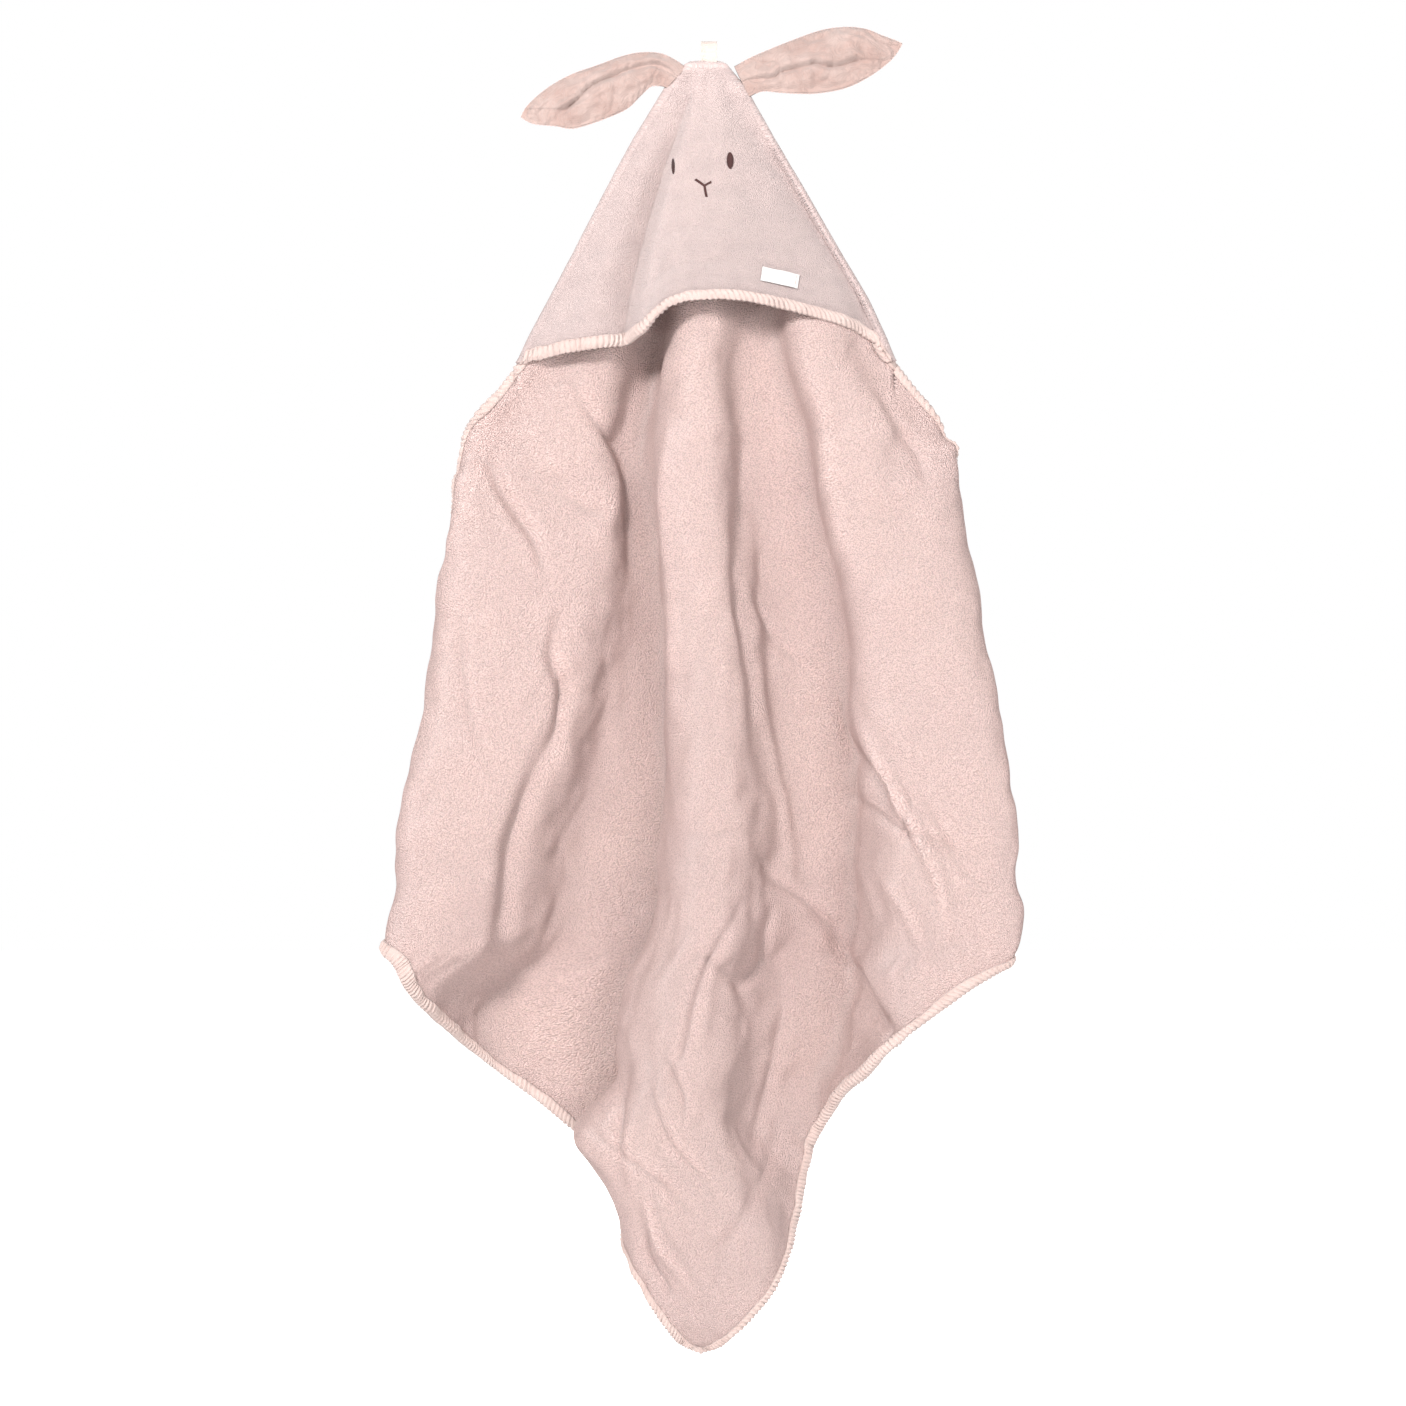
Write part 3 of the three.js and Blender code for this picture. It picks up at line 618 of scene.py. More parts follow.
terry = cloth_finish("pink_terry", colour(255, 221, 213), colour(248, 214, 208), LOOPS, 0.0012, 0.0034,
                     shadow=0.58, patch=0.12, heather=0.5)
hood_terry = cloth_finish("hood_velour", colour(199, 178, 174), colour(188, 168, 165), LOOPS, 0.0011, 0.0012,
                          shadow=0.22, patch=0.016, heather=0.5)
binding_finish = cloth_finish("edge_tape", colour(202, 182, 175), colour(190, 167, 160),
                              WEAVE, 0.0009, 0.00025, shadow=0.25, patch=0.02, heather=0.3, flat=False)
ear_finish = cloth_finish("ear_muslin", colour(180, 159, 152), colour(162, 136, 128), WEAVE, 0.0008, 0.0003,
                          shadow=0.25, patch=0.02, heather=0.4, flat=False)
brown_thread = cloth_finish("brown_thread", colour(84, 54, 52), colour(56, 34, 34), WEAVE, 0.0004, 0.0001,
                            shadow=0.3, sheen=0.1, flat=False)
pink_thread = cloth_finish("pink_thread", colour(210, 187, 180), colour(194, 169, 162),
                           WEAVE, 0.0004, 0.0001, shadow=0.3, flat=False)
label_finish = cloth_finish("label_satin", colour(208, 207, 205), colour(200, 198, 196),
                            WEAVE, 0.0005, 0.0001, shadow=0.15, patch=0.01, heather=0.1, flat=False)
tape_finish = cloth_finish("loop_twill", colour(207, 196, 188), colour(194, 179, 171),
                           WEAVE, 0.0008, 0.0002, shadow=0.3, patch=0.01, flat=False)


# ---- Stitches: every edge of a guide mesh becomes one thread ----
def make_stitch_tree():
    tree = bpy.data.node_groups.new("sewn_stitches", "GeometryNodeTree")
    face = tree.interface
    face.new_socket(name="Guide", in_out="INPUT", socket_type="NodeSocketGeometry")
    for label, kind in (("Thread", "Float"), ("Unevenness", "Float"), ("Seed", "Int"),
                        ("Finish", "Material")):
        face.new_socket(name=label, in_out="INPUT", socket_type="NodeSocket" + kind)
    face.new_socket(name="Stitches", in_out="OUTPUT", socket_type="NodeSocketGeometry")
    g = Graph(tree)
    given, out = g.add("NodeGroupInput").outputs, g.add("NodeGroupOutput")
    ends = g.add("GeometryNodeInputMeshEdgeVertices").outputs
    run = g.add("ShaderNodeVectorMath", {0: ends["Position 2"], 1: ends["Position 1"]},
                operation="SUBTRACT").outputs[0]
    keep = g.add("GeometryNodeCaptureAttribute", {"Geometry": given["Guide"]}, domain="EDGE")
    keep.capture_items.new("VECTOR", "Run")
    tree.links.new(run, keep.inputs["Run"])
    middles = g.add("GeometryNodeMeshToPoints", {"Mesh": keep.outputs["Geometry"]}, mode="EDGES")
    lie = g.add("FunctionNodeAlignRotationToVector", {"Vector": keep.outputs["Run"]}, axis="Z")
    length = g.add("ShaderNodeVectorMath", {0: keep.outputs["Run"]}, operation="LENGTH").outputs["Value"]
    low = g.math("SUBTRACT", 1.0, given["Unevenness"])
    high = g.math("ADD", 1.0, given["Unevenness"])
    vary = g.add("FunctionNodeRandomValue", {2: low, 3: high, 8: given["Seed"]}, data_type="FLOAT").outputs[1]
    thick = g.math("MULTIPLY", given["Thread"], vary)
    size = g.add("ShaderNodeCombineXYZ", {0: thick, 1: thick, 2: g.math("MULTIPLY", length, 1.12)})
    bead = g.add("GeometryNodeMeshUVSphere", {"Segments": 6, "Rings": 6, "Radius": 0.5})
    laid = g.add("GeometryNodeInstanceOnPoints", {
        "Points": middles.outputs[0], "Instance": bead.outputs[0], "Rotation": lie.outputs[0],
        "Scale": size.outputs[0]})
    real = g.add("GeometryNodeRealizeInstances", {0: laid.outputs[0]})
    rounded = g.add("GeometryNodeSetShadeSmooth", {0: real.outputs[0]})
    finished = g.add("GeometryNodeSetMaterial", {"Geometry": rounded.outputs[0], "Material": given["Finish"]})
    tree.links.new(finished.outputs[0], out.inputs[0])
    return tree


STITCHES = make_stitch_tree()


def sew(name, starts, ends, thread, finish, unevenness=0.15, seed=1):
    """One piece of thread from each start to its end."""
    points = np.stack([starts, ends], 1).reshape(-1, 3)
    guide_mesh = bpy.data.meshes.new(name + "_guide")
    guide_mesh.from_pydata(points.tolist(), [(2 * k, 2 * k + 1) for k in range(len(starts))], [])
    guide = add_object(name + "_guide", guide_mesh)
    modifier = guide.modifiers.new("stitches", "NODES")
    modifier.node_group = STITCHES
    sockets = {s.name: s.identifier for s in STITCHES.interface.items_tree if s.in_out == "INPUT"}
    for label, value in (("Thread", thread), ("Unevenness", unevenness), ("Seed", int(seed)),
                         ("Finish", finish)):
        modifier[sockets[label]] = value
    bpy.context.view_layer.update()
    made = bpy.data.meshes.new_from_object(guide.evaluated_get(bpy.context.evaluated_depsgraph_get()))
    made.name = name
    piece = add_object(name, made)
    bpy.data.objects.remove(guide)
    return piece


# ---- Hood: a right-angled triangle of cloth sewn along the towel's two upper edges ----
ROLL = 0.005  # radius of the turned seam down each side
HOOD_ROWS, HOOD_COLUMNS = 120, 150
TURNS = np.radians([-50, -30, -10, 10, 30, 50, 70, 90])  # round a side seam, up to the front face
PEAK_TURNS = np.radians([-30, 0, 30, 60])  # round the turned peak, from behind
PEAK_WIDTHS = (0.50, 0.58, 0.75, 0.92)  # of those rows, as shares of the first row of the front


def hood_depth(x, z, down, across):
    """How far the hood stands forward of its seams."""
    forward = 0.040 * down**1.15 * np.sin(math.pi * across) ** 1.15
    # The deep fold left of the face: where it runs, how deep it is, how wide.
    fold = track(z, [(-0.040, -0.013), (-0.095, -0.033), (-0.1325, -0.044), (-0.185, -0.057),
                     (-0.225, -0.062)])
    deep = track(z, [(-0.020, 0.0), (-0.045, 0.007), (-0.095, 0.016), (-0.150, 0.021), (-0.200, 0.023),
                     (-0.230, 0.022)])
    wide = track(z, [(-0.040, 0.005), (-0.130, 0.008), (-0.230, 0.011)])
    off = (x - fold) / wide
    forward -= deep * np.exp(-np.abs(off * np.where(off > 0, 1.3, 0.6)) ** 1.8)
    # The soft fold near the right seam, the swell down the middle, the gathers under the peak.
    soft = track(z, [(-0.050, 0.023), (-0.1175, 0.068), (-0.1475, 0.091), (-0.190, 0.116)])
    forward -= 0.0070 * ease((-z - 0.04) / 0.05) * hill(x - soft, 0.012)
    middle = track(z, [(-0.02, 0.0), (-0.19, 0.020)])
    forward += 0.003 * ease((-z - 0.03) / 0.05) * hill(x - middle, 0.028)
    gathers = np.sin(15 * np.arctan2(x - 0.001, -z)) * hill(z + 0.03, 0.045)
    return forward + 0.0011 * gathers * ease((-z - 0.018) / 0.02)


def make_hood_surface():
    """Grids of the hood's points and of their flat places: down from the peak, across from left to right."""
    down = np.linspace(0.03, 1.0, HOOD_ROWS)
    sewn = down * HOOD_LEG / SIDE
    left, right = at_grid(towel, sewn, 0 * sewn), at_grid(towel, 0 * sewn, sewn)
    left[:, 0] = outline_x(left[:, 2], -1) - 0.001
    right[:, 0] = outline_x(right[:, 2], 1) + 0.001
    w = np.linspace(0, 1, HOOD_COLUMNS)[None, :]
    mix = lambda k: left[:, k, None] * (1 - w) + right[:, k, None] * w
    x = (left[:, 0, None] + ROLL) * (1 - w) + (right[:, 0, None] - ROLL) * w
    arch = track(x[-1], OPENING) - (left[-1, 2] * (1 - w[0]) + right[-1, 2] * w[0])
    z = mix(2) + down[:, None] ** 2.5 * arch[None, :] * ease(np.minimum(w, 1 - w) * 30)
    y = mix(1) - ROLL - hood_depth(x, z, down[:, None], w)
    y -= 0.0007 * bumps(x + 1, z, 0.021, 11) + 0.0004 * bumps(x + 1, z, 0.009, 12)
    front = np.stack([x, y, z], -1)
    turned = []
    for side, edge in ((-1, left), (1, right)):
        cx, cy = edge[:, 0] - side * ROLL, edge[:, 1]
        turned.append(np.stack([
            np.stack([cx + side * ROLL * np.cos(a), cy - ROLL * np.sin(a), edge[:, 2]], -1)
            for a in TURNS[:-1]], 1))
    grid = np.concatenate([turned[0], front, turned[1][:, ::-1]], 1)
    over = []
    for a, narrow in zip(PEAK_TURNS, PEAK_WIDTHS):
        row = grid[0].copy()
        row[:, 0] = row[:, 0].mean() + (row[:, 0] - row[:, 0].mean()) * narrow
        row[:, 2] += ROLL * np.cos(a)
        row[:, 1] += ROLL * (1 - np.sin(a))
        over.append(row)
    grid = np.concatenate([np.stack(over), grid], 0)
    place = np.concatenate([np.linspace(-0.05, 0, 7, endpoint=False), w[0], np.linspace(1, 1.05, 8)[1:]])
    height = np.concatenate([np.linspace(0, 0.028, 4), down])
    reach = HOOD_LEG * math.sqrt(0.5)
    flat = np.stack([(place[None, :] - 0.5) * 2 * reach * height[:, None] + 0.5,
                     np.repeat(reach * height[:, None], len(place), 1)], -1)
    return grid, flat


hood, hood_uv = make_hood_surface()
hood_normal = facing(hood)

# The towel is pressed back where the hood lies over it.
COVERED_ABOVE = -0.30  # height below which the hood doesn't reach
HOOD_GAP = 0.0048  # least depth from the hood's middle surface to the towel's
towel_edges = (towel[:, 0].copy(), towel[0, :].copy())
covering = kdtree.KDTree(hood.shape[0] * hood.shape[1])
for k, p in enumerate(hood.reshape(-1, 3)):
    covering.insert((p[0], 0, p[2]), k)
covering.balance()
hood_depths = hood.reshape(-1, 3)[:, 1]
for i, j in zip(*np.nonzero(towel[..., 2] > COVERED_ABOVE)):
    x, y, z = towel[i, j]
    _, k, away = covering.find((x, 0, z))
    short = hood_depths[k] + HOOD_GAP - y
    if short > 0:
        towel[i, j, 1] += short * math.exp(-((max(away - 0.002, 0) / 0.02) ** 2))
# Its two upper edges lie against the hood's seams.
SEAM_BEHIND = 0.0050  # how far the towel's edge lies behind the seam
sewn_rows = int(-COVERED_ABOVE / SIDE * CELLS)
beside = ease((towel[..., 2] + 0.244) / 0.020)
for side, line in zip((-1, 1), towel_edges):
    line = line[:sewn_rows]
    height = towel[..., 2]
    limit = outline_x(height, side)
    inside = side * (limit - towel[..., 0])
    near = beside * (1 - ease((inside - 0.004) / 0.012))
    seam_y = track(height, [(p[2], p[1]) for p in line]) + SEAM_BEHIND
    towel[..., 1] += (seam_y - towel[..., 1]) * near
    # The corner under the peak is spread to the hood's width.
    reach = np.maximum(side * track(height, [(p[2], p[0]) for p in line]), 0.004)
    spread = 1 + (side * limit / reach - 1) * ease((height + 0.080) / 0.030)
    towel[..., 0] *= np.where(side * towel[..., 0] > 0, np.maximum(spread, 1), 1)
    inside = side * (limit - towel[..., 0])
    towel[..., 0] -= side * np.maximum(0.0002 - inside, 0) * beside
# The opening stands clear of it at the hood's deep fold.
hollow = hill(towel[..., 0] + 0.040, 0.026) * ease((towel[..., 2] + 0.320) / 0.07)
towel[..., 1] += 0.014 * hollow * ease((-towel[..., 2] - 0.12) / 0.06)
normal = facing(towel)


def on_hood(x, z, lift=0.0):
    """The point of the hood's front face at x, z, lifted off the cloth."""
    rows = slice(len(PEAK_TURNS) + 2, None)
    columns = slice(len(TURNS), -len(TURNS))
    near = np.argmin((hood[rows, columns, 0] - x) ** 2 + (hood[rows, columns, 2] - z) ** 2)
    p = hood[rows, columns].reshape(-1, 3)[near]
    n = hood_normal[rows, columns].reshape(-1, 3)[near]
    y = p[1] - (n[0] * (x - p[0]) + n[2] * (z - p[2])) / n[1]
    return np.array([x, y, z]) + n * (HOOD_CLOTH / 2 + lift)


# ---- Edge tape: folded over an edge and sewn down, puckered along its stitching ----
PUCKER = 0.0043  # from one pucker of the tape to the next
PUCKER_HEIGHT = 0.0019
STITCH_LINE = 0.0074  # from the hood's edge to the stitches of its tape
TAPE_THREAD = 0.0006


def tape_section(half):
    """Places (in from the edge, out from the cloth, pucker share) round the folded tape's section."""
    outside = [(BINDING_FRONT, 0.0002, 0.1), (BINDING_FRONT - 0.0007, 0.0012, 0.6), (0.0070, 0.0017, 1.0),
               (0.0052, 0.0019, 1.0), (0.0032, 0.0019, 1.0), (0.0014, 0.0015, 0.9)]
    front = [(w, half + h, share) for w, h, share in outside]
    round_edge = [(-0.0003, half * 0.8, 0.8), (-0.0013, half * 0.3, 0.8)]
    top = front + round_edge
    outer = top + [(w, -h, share) for w, h, share in reversed(top)]
    inner_top = [(BINDING_FRONT - 0.0003, half + 0.0001, 0.0), (0.0060, half + 0.0002, 0.0),
                 (0.0012, half + 0.0001, 0.0), (-0.0002, half * 0.4, 0.0)]
    inner = [(w, -h, share) for w, h, share in inner_top] + list(reversed(inner_top))
    return np.array(outer + inner)


def bound_edge(surface, normals, places, inwards, run, half, narrow, seed):
    """Rings of tape along an edge of a grid of cloth: places are grid fractions on the edge,
    inwards the step for one metre in, run the distance along it."""
    w, h, share = tape_section(half).T
    w = w * narrow
    edge = at_grid(surface, places[:, 0], places[:, 1])
    inside = at_grid(surface, *(places + inwards * 0.004).T)
    outward = unit(edge - inside)
    phase = (2 * math.pi * (run[:, None] + 0.55 * w[None, :]) / PUCKER
             + 1.3 * bumps(run, run * 0, 0.011, seed)[:, None])
    ridge = ((np.abs(np.cos(phase / 2)) ** 0.8 - 0.5) * share[None, :]
             * (1 + 0.4 * bumps(run, run * 0 + 5, 0.006, seed)[:, None]))
    inward = np.maximum(w, 0)
    wavy = 0.0005 * bumps(run, run * 0 + 9, 0.008, seed)[:, None] * ease(w / 0.006)[None, :]
    a = places[:, None, :] + inwards[:, None, :] * (inward[None, :] + wavy)[..., None]
    base = at_grid(surface, a[..., 0], a[..., 1])
    up = at_grid(normals, a[..., 0], a[..., 1])
    out = np.maximum(-w, 0)[None, :] + 0.0011 * ridge * (w < 0.002)[None, :]
    rise = h[None, :] + np.sign(h)[None, :] * PUCKER_HEIGHT * ridge
    return base + outward[:, None, :] * out[..., None] + up * rise[..., None]


def stitch_run(surface, normals, places, inwards, run, half, depth):
    """Starts and ends of one row of stitches on the front of a taped edge."""
    a = places + inwards * depth
    p = at_grid(surface, a[:, 0], a[:, 1]) + at_grid(normals, a[:, 0], a[:, 1]) * (half + 0.0017)
    starts = np.arange(run[0] + 0.001, run[-1] - 0.003, PUCKER)
    pick = lambda at: np.stack([np.interp(at, run, p[:, k]) for k in range(3)], 1)
    return pick(starts), pick(starts + PUCKER * 0.62)


# ---- Towel pieces ----
across_cut = (sewn_t - sewn_s) / math.sqrt(2)
down_cut = (sewn_t + sewn_s) / math.sqrt(2)
for name, cells, part in (("towel_behind_hood", is_back, "back"), ("towel_middle", is_middle, "drape"),
                          ("towel_left_wing", is_left, "left"), ("towel_right_wing", is_right, "right"),
                          ("towel_bottom_corner", is_corner, "corner")):
    piece = panel(name + "_terry", towel, normal, towel_uv, cells, TERRY, terry)
    follow(piece, part)
    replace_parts(piece, name)
    i, j = np.nonzero(cells)
    width, length = np.ptp(across_cut[i, j]), np.ptp(down_cut[i, j])

# ---- Edge binding: from the hood's left end round the three corners to its right end ----
STEP = 0.0008  # between rings of tape
HEM_NARROW = 0.80  # width of the towel's tape as a share of the hood's
leg = np.arange(HOOD_LEG - 0.006, SIDE, STEP)  # it starts under the hood's end
whole = np.arange(0, SIDE, STEP)
sewn_path = np.concatenate([
    np.stack([leg, 0 * leg], 1), np.stack([SIDE + 0 * whole, whole], 1),
    np.stack([whole[::-1], SIDE + 0 * whole], 1)[1:], np.stack([0 * leg, leg[::-1]], 1)])
edge_places = sewn_path / SIDE
edge_run = np.arange(len(sewn_path)) * STEP


def towards_inside(path):
    """Direction in from each point of the towel's edge, radial round the rounded corners."""
    inner = SIDE - CORNER
    s, t = path.T
    ds = np.where(s > SIDE - 1e-9, -1.0, np.where(s < 1e-9, 1.0, 0.0))
    dt = np.where(t > SIDE - 1e-9, -1.0, np.where(t < 1e-9, 1.0, 0.0))
    for cs, ct, m in ((inner, CORNER, (s > inner) & (t < CORNER)),
                      (inner, inner, (s > inner) & (t > inner)),
                      (CORNER, inner, (s < CORNER) & (t > inner))):
        ds, dt = np.where(m, (cs - s) / CORNER, ds), np.where(m, (ct - t) / CORNER, dt)
    return np.stack([ds, dt], 1)


edge_inwards = towards_inside(sewn_path) / SIDE
edge_rings = bound_edge(towel, normal, edge_places, edge_inwards, edge_run, TERRY / 2, HEM_NARROW, 21)
edge_line = at_grid(towel, edge_places[:, 0], edge_places[:, 1])
half_way = len(edge_line) // 2
where = np.arange(len(edge_line))
on_left, on_right = where[edge_line[:, 0] < -WING_START], where[edge_line[:, 0] > WING_START]
on_left, on_right = on_left[on_left < half_way], on_right[on_right > half_way]
low = where[edge_line[:, 2] < CORNER_START]
stops = [0, on_left[0], on_left[-1], low[0], low[-1], on_right[0], on_right[-1], len(edge_line) - 1]
EDGE_PARTS = (("left_shoulder", "back"), ("left_wing", "left"), ("left_hem", "drape"),
              ("bottom_corner", "corner"), ("right_hem", "drape"), ("right_wing", "right"),
              ("right_shoulder", "back"))
for (name, part), first, last in zip(EDGE_PARTS, stops, stops[1:]):
    rows = slice(first, last + 1)
    tape = tube(f"edge_binding_{name}_tape", edge_rings[rows], binding_finish)
    starts, ends = stitch_run(towel, normal, edge_places[rows], edge_inwards[rows], edge_run[rows],
                              TERRY / 2, STITCH_LINE * HEM_NARROW)
    thread = sew(f"edge_binding_{name}_stitches", starts, ends, TAPE_THREAD, pink_thread, seed=first + 1)
    for piece in (tape, thread):
        follow(piece, part)
    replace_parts(tape, f"edge_binding_{name}")

# ---- Hood pieces ----
all_rows, all_columns = hood.shape[0] - 1, hood.shape[1] - 1
hood_piece = panel("hood_front_velour", hood, hood_normal, hood_uv, np.ones((all_rows, all_columns), bool),
                   HOOD_CLOTH, hood_terry)
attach(hood_piece, "hood")
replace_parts(hood_piece, "hood_front")

rim = hood[-1]
TUCKED = 6  # columns at each end where the opening's tape has gone under the side seam
columns = np.arange(TUCKED, all_columns - TUCKED + 1)
rim_run = run_along(rim[columns])
opening_run = np.arange(0, rim_run[-1], STEP)
opening_columns = np.interp(opening_run, rim_run, columns) / all_columns
opening_places = np.stack([np.ones_like(opening_columns), opening_columns], 1)
row_length = np.linalg.norm(rim - hood[-2], axis=1).mean()
opening_inwards = np.stack([np.full_like(opening_columns, -1 / (row_length * all_rows)),
                            0 * opening_columns], 1)
opening_rings = bound_edge(hood, hood_normal, opening_places, opening_inwards, opening_run,
                           HOOD_CLOTH / 2, 1.0, 31)
opening_tape = tube("hood_opening_binding_tape", opening_rings, binding_finish)
starts, ends = stitch_run(hood, hood_normal, opening_places, opening_inwards, opening_run,
                          HOOD_CLOTH / 2, STITCH_LINE)
opening_thread = sew("hood_opening_binding_stitches", starts, ends, TAPE_THREAD, pink_thread, seed=41)
for piece in (opening_tape, opening_thread):
    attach(piece, "hood")
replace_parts(opening_tape, "hood_opening_binding")

# ---- Ears: each a stuffed leaf of two crinkled halves, pleated along its inner fold ----
EARS = {  # outline and inner fold, from the base to the tip: distance across, height
    "left": dict(
        top=((-0.0165, -0.0185), (-0.0323, -0.0095), (-0.0465, -0.0073), (-0.0623, -0.0095),
             (-0.0833, -0.0170), (-0.1043, -0.0245), (-0.1223, -0.0350), (-0.1358, -0.0470),
             (-0.1410, -0.0553)),
        bottom=((-0.0315, -0.0343), (-0.0360, -0.0328), (-0.0435, -0.0328), (-0.0518, -0.0403),
                (-0.0623, -0.0500), (-0.0833, -0.0590), (-0.1020, -0.0643), (-0.1148, -0.0625),
                (-0.1313, -0.0608), (-0.1410, -0.0563)),
        pleat=((-0.0240, -0.0253), (-0.0323, -0.0185), (-0.0435, -0.0163), (-0.0623, -0.0208),
               (-0.0780, -0.0275), (-0.0893, -0.0328), (-0.1013, -0.0448), (-0.1080, -0.0500))),
    "right": dict(
        top=((0.0188, -0.0178), (0.0353, -0.0095), (0.0630, 0.0018), (0.0848, 0.0093), (0.1035, 0.0115),
             (0.1178, 0.0100), (0.1290, 0.0055), (0.1373, 0.0025), (0.1448, -0.0005)),
        bottom=((0.0300, -0.0410), (0.0398, -0.0365), (0.0515, -0.0372), (0.0630, -0.0380),
                (0.0803, -0.0380), (0.1013, -0.0343), (0.1178, -0.0268), (0.1320, -0.0170),
                (0.1395, -0.0095), (0.1448, -0.0015)),
        pleat=((0.0210, -0.0320), (0.0308, -0.0275), (0.0473, -0.0260), (0.0540, -0.0215),
               (0.0735, -0.0170), (0.0795, -0.0155), (0.0938, -0.0178), (0.1100, -0.0130))),
}
EAR_LENGTHWISE, EAR_ACROSS = 120, 44
EAR_Y = -0.0016  # depth of the seam between an ear's halves


def smooth_line(points, count):
    """A curve through given points, evenly spaced along its length."""
    line = refine(np.array(points)[:, None, :].repeat(2, 1), 400, 2)[:, 0]
    run = run_along(line)
    even = np.linspace(0, run[-1], count)
    return np.stack([np.interp(even, run, line[:, k]) for k in (0, 1)], 1)


for side, shape in EARS.items():
    upper = smooth_line(shape["top"], EAR_LENGTHWISE)
    lower = smooth_line(shape["bottom"], EAR_LENGTHWISE)
    pleat = smooth_line(shape["pleat"], 160)
    g = np.linspace(0, 1, EAR_ACROSS)[None, :]
    f = np.linspace(0, 1, EAR_LENGTHWISE)[:, None]
    x = upper[:, :1] * (1 - g) + lower[:, :1] * g
    z = upper[:, 1:] * (1 - g) + lower[:, 1:] * g
    span = np.linalg.norm(upper - lower, axis=1)[:, None]
    length = np.linalg.norm(upper[-1] - upper[0])
    stuffing = np.minimum(0.0030 + 0.0045 * ease(f / 0.35), span * 0.42)
    stuffing = stuffing * (1 - 0.55 * ease((f - 0.55) / 0.45))
    from_seam = np.minimum(g, 1 - g) * span
    crown = stuffing * np.sin(math.pi * g) ** 0.6
    gap = np.sqrt((x[..., None] - pleat[:, 0]) ** 2 + (z[..., None] - pleat[:, 1]) ** 2)
    nearest = gap.argmin(-1)
    apart = gap.min(-1)
    below = z < pleat[nearest, 1]
    seed = 51 if side == "left" else 57
    along, across = f * length + 0 * g, g * span + 0 * f
    crumple = (bumps(along, across, 0.0085, seed) * 0.0013
               + bumps(f * length * 0.6 + 0 * g, g * span * 1.6 + 0 * f, 0.0050, seed + 1) * 0.0009
               + bumps(f * length * 2.0 + g * 0.02, g * span, 0.0060, seed + 2) * 0.0005)
    sharp = bumps(along, g * span * 0.8 + 0 * f, 0.0120, seed + 7)
    crumple -= 0.0016 * (1 - np.abs(sharp)) ** 5
    tucks = 0.0008 * np.cos(2 * math.pi * f * length / 0.0065 + 3 * g) * np.exp(-from_seam / 0.0035)
    base_tucks = 0.0010 * np.cos(2 * math.pi * g * 3.5) * (1 - ease(f / 0.16))
    fade = ease(from_seam / 0.0025)
    fold = np.where(below, 0.0040 * hill(apart, 0.0030) + 0.0012, 0.0020 * hill(apart, 0.0014))
    lip = np.where(below, 0.0, 0.0014 * hill(apart - 0.004, 0.003))
    fade *= 0.25 + 0.75 * ease(f / 0.14)
    rise_front = crown + (crumple + tucks + base_tucks + lip - fold) * fade
    least = 0.0007 * ease(from_seam / 0.0015)
    back_crumple = bumps(along, across + 3, 0.0095, seed + 3) * 0.0010
    rise_back = crown + (back_crumple + tucks + base_tucks) * fade
    for face, rise, way in (("front", rise_front, -1), ("back", rise_back, 1)):
        skin = np.stack([x, EAR_Y + way * np.maximum(rise, least), z], -1)
        middle = np.stack([x, np.full_like(x, EAR_Y), z], -1)[:, 1:-1][:, ::-1]
        half = tube(f"{side}_ear_{face}_muslin", np.concatenate([skin, middle], 1), ear_finish)
        follow(half, f"{side}_ear")
        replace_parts(half, f"{side}_ear_{face}")
    seam = np.concatenate([upper[4:], lower[4:-1][::-1]])
    run = run_along(seam)
    at = np.arange(0.001, run[-1] - 0.002, 0.0028)
    pick = lambda q: np.stack([np.interp(q, run, seam[:, 0]), np.full_like(q, EAR_Y),
                               np.interp(q, run, seam[:, 1])], 1)
    seam_thread = sew(f"{side}_ear_seam_stitches", pick(at), pick(at + 0.0024), 0.0009, pink_thread,
                      seed=seed)
    follow(seam_thread, f"{side}_ear")

# ---- Face: satin stitch eyes and a three-armed nose and mouth ----
THREAD_PITCH = 0.00042  # from one laid thread to the next
ARM_WIDTH = 0.0018  # of the nose and mouth


def satin(name, rows, seed):
    """Threads laid side by side on the hood, one from end to end of each row."""
    starts = np.array([on_hood(*a, lift=0.0002) for a, _ in rows])
    ends = np.array([on_hood(*b, lift=0.0002) for _, b in rows])
    piece = sew(name, starts, ends, THREAD_PITCH * 1.5, brown_thread, seed=seed)
    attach(piece, "hood")
    return piece


def eye_rows(x, z, half_width, half_height):
    """Rows of thread across an oval."""
    rows = []
    for k in np.arange(-half_height + 0.0003, half_height, THREAD_PITCH):
        reach = half_width * math.sqrt(1 - (k / half_height) ** 2)
        rows.append(((x - reach, z + k + 0.0002), (x + reach, z + k - 0.0002)))
    return rows


def arm_rows(a, b):
    """Rows of thread across a narrow bar from a to b, a little aslant."""
    a, b = np.array(a), np.array(b)
    along = (b - a) / np.linalg.norm(b - a)
    side = np.array([-along[1], along[0]])
    rows = []
    for k in np.arange(0, np.linalg.norm(b - a), THREAD_PITCH):
        p = a + along * k
        rows.append((tuple(p - side * ARM_WIDTH / 2 - along * 0.0003),
                     tuple(p + side * ARM_WIDTH / 2 + along * 0.0003)))
    return rows


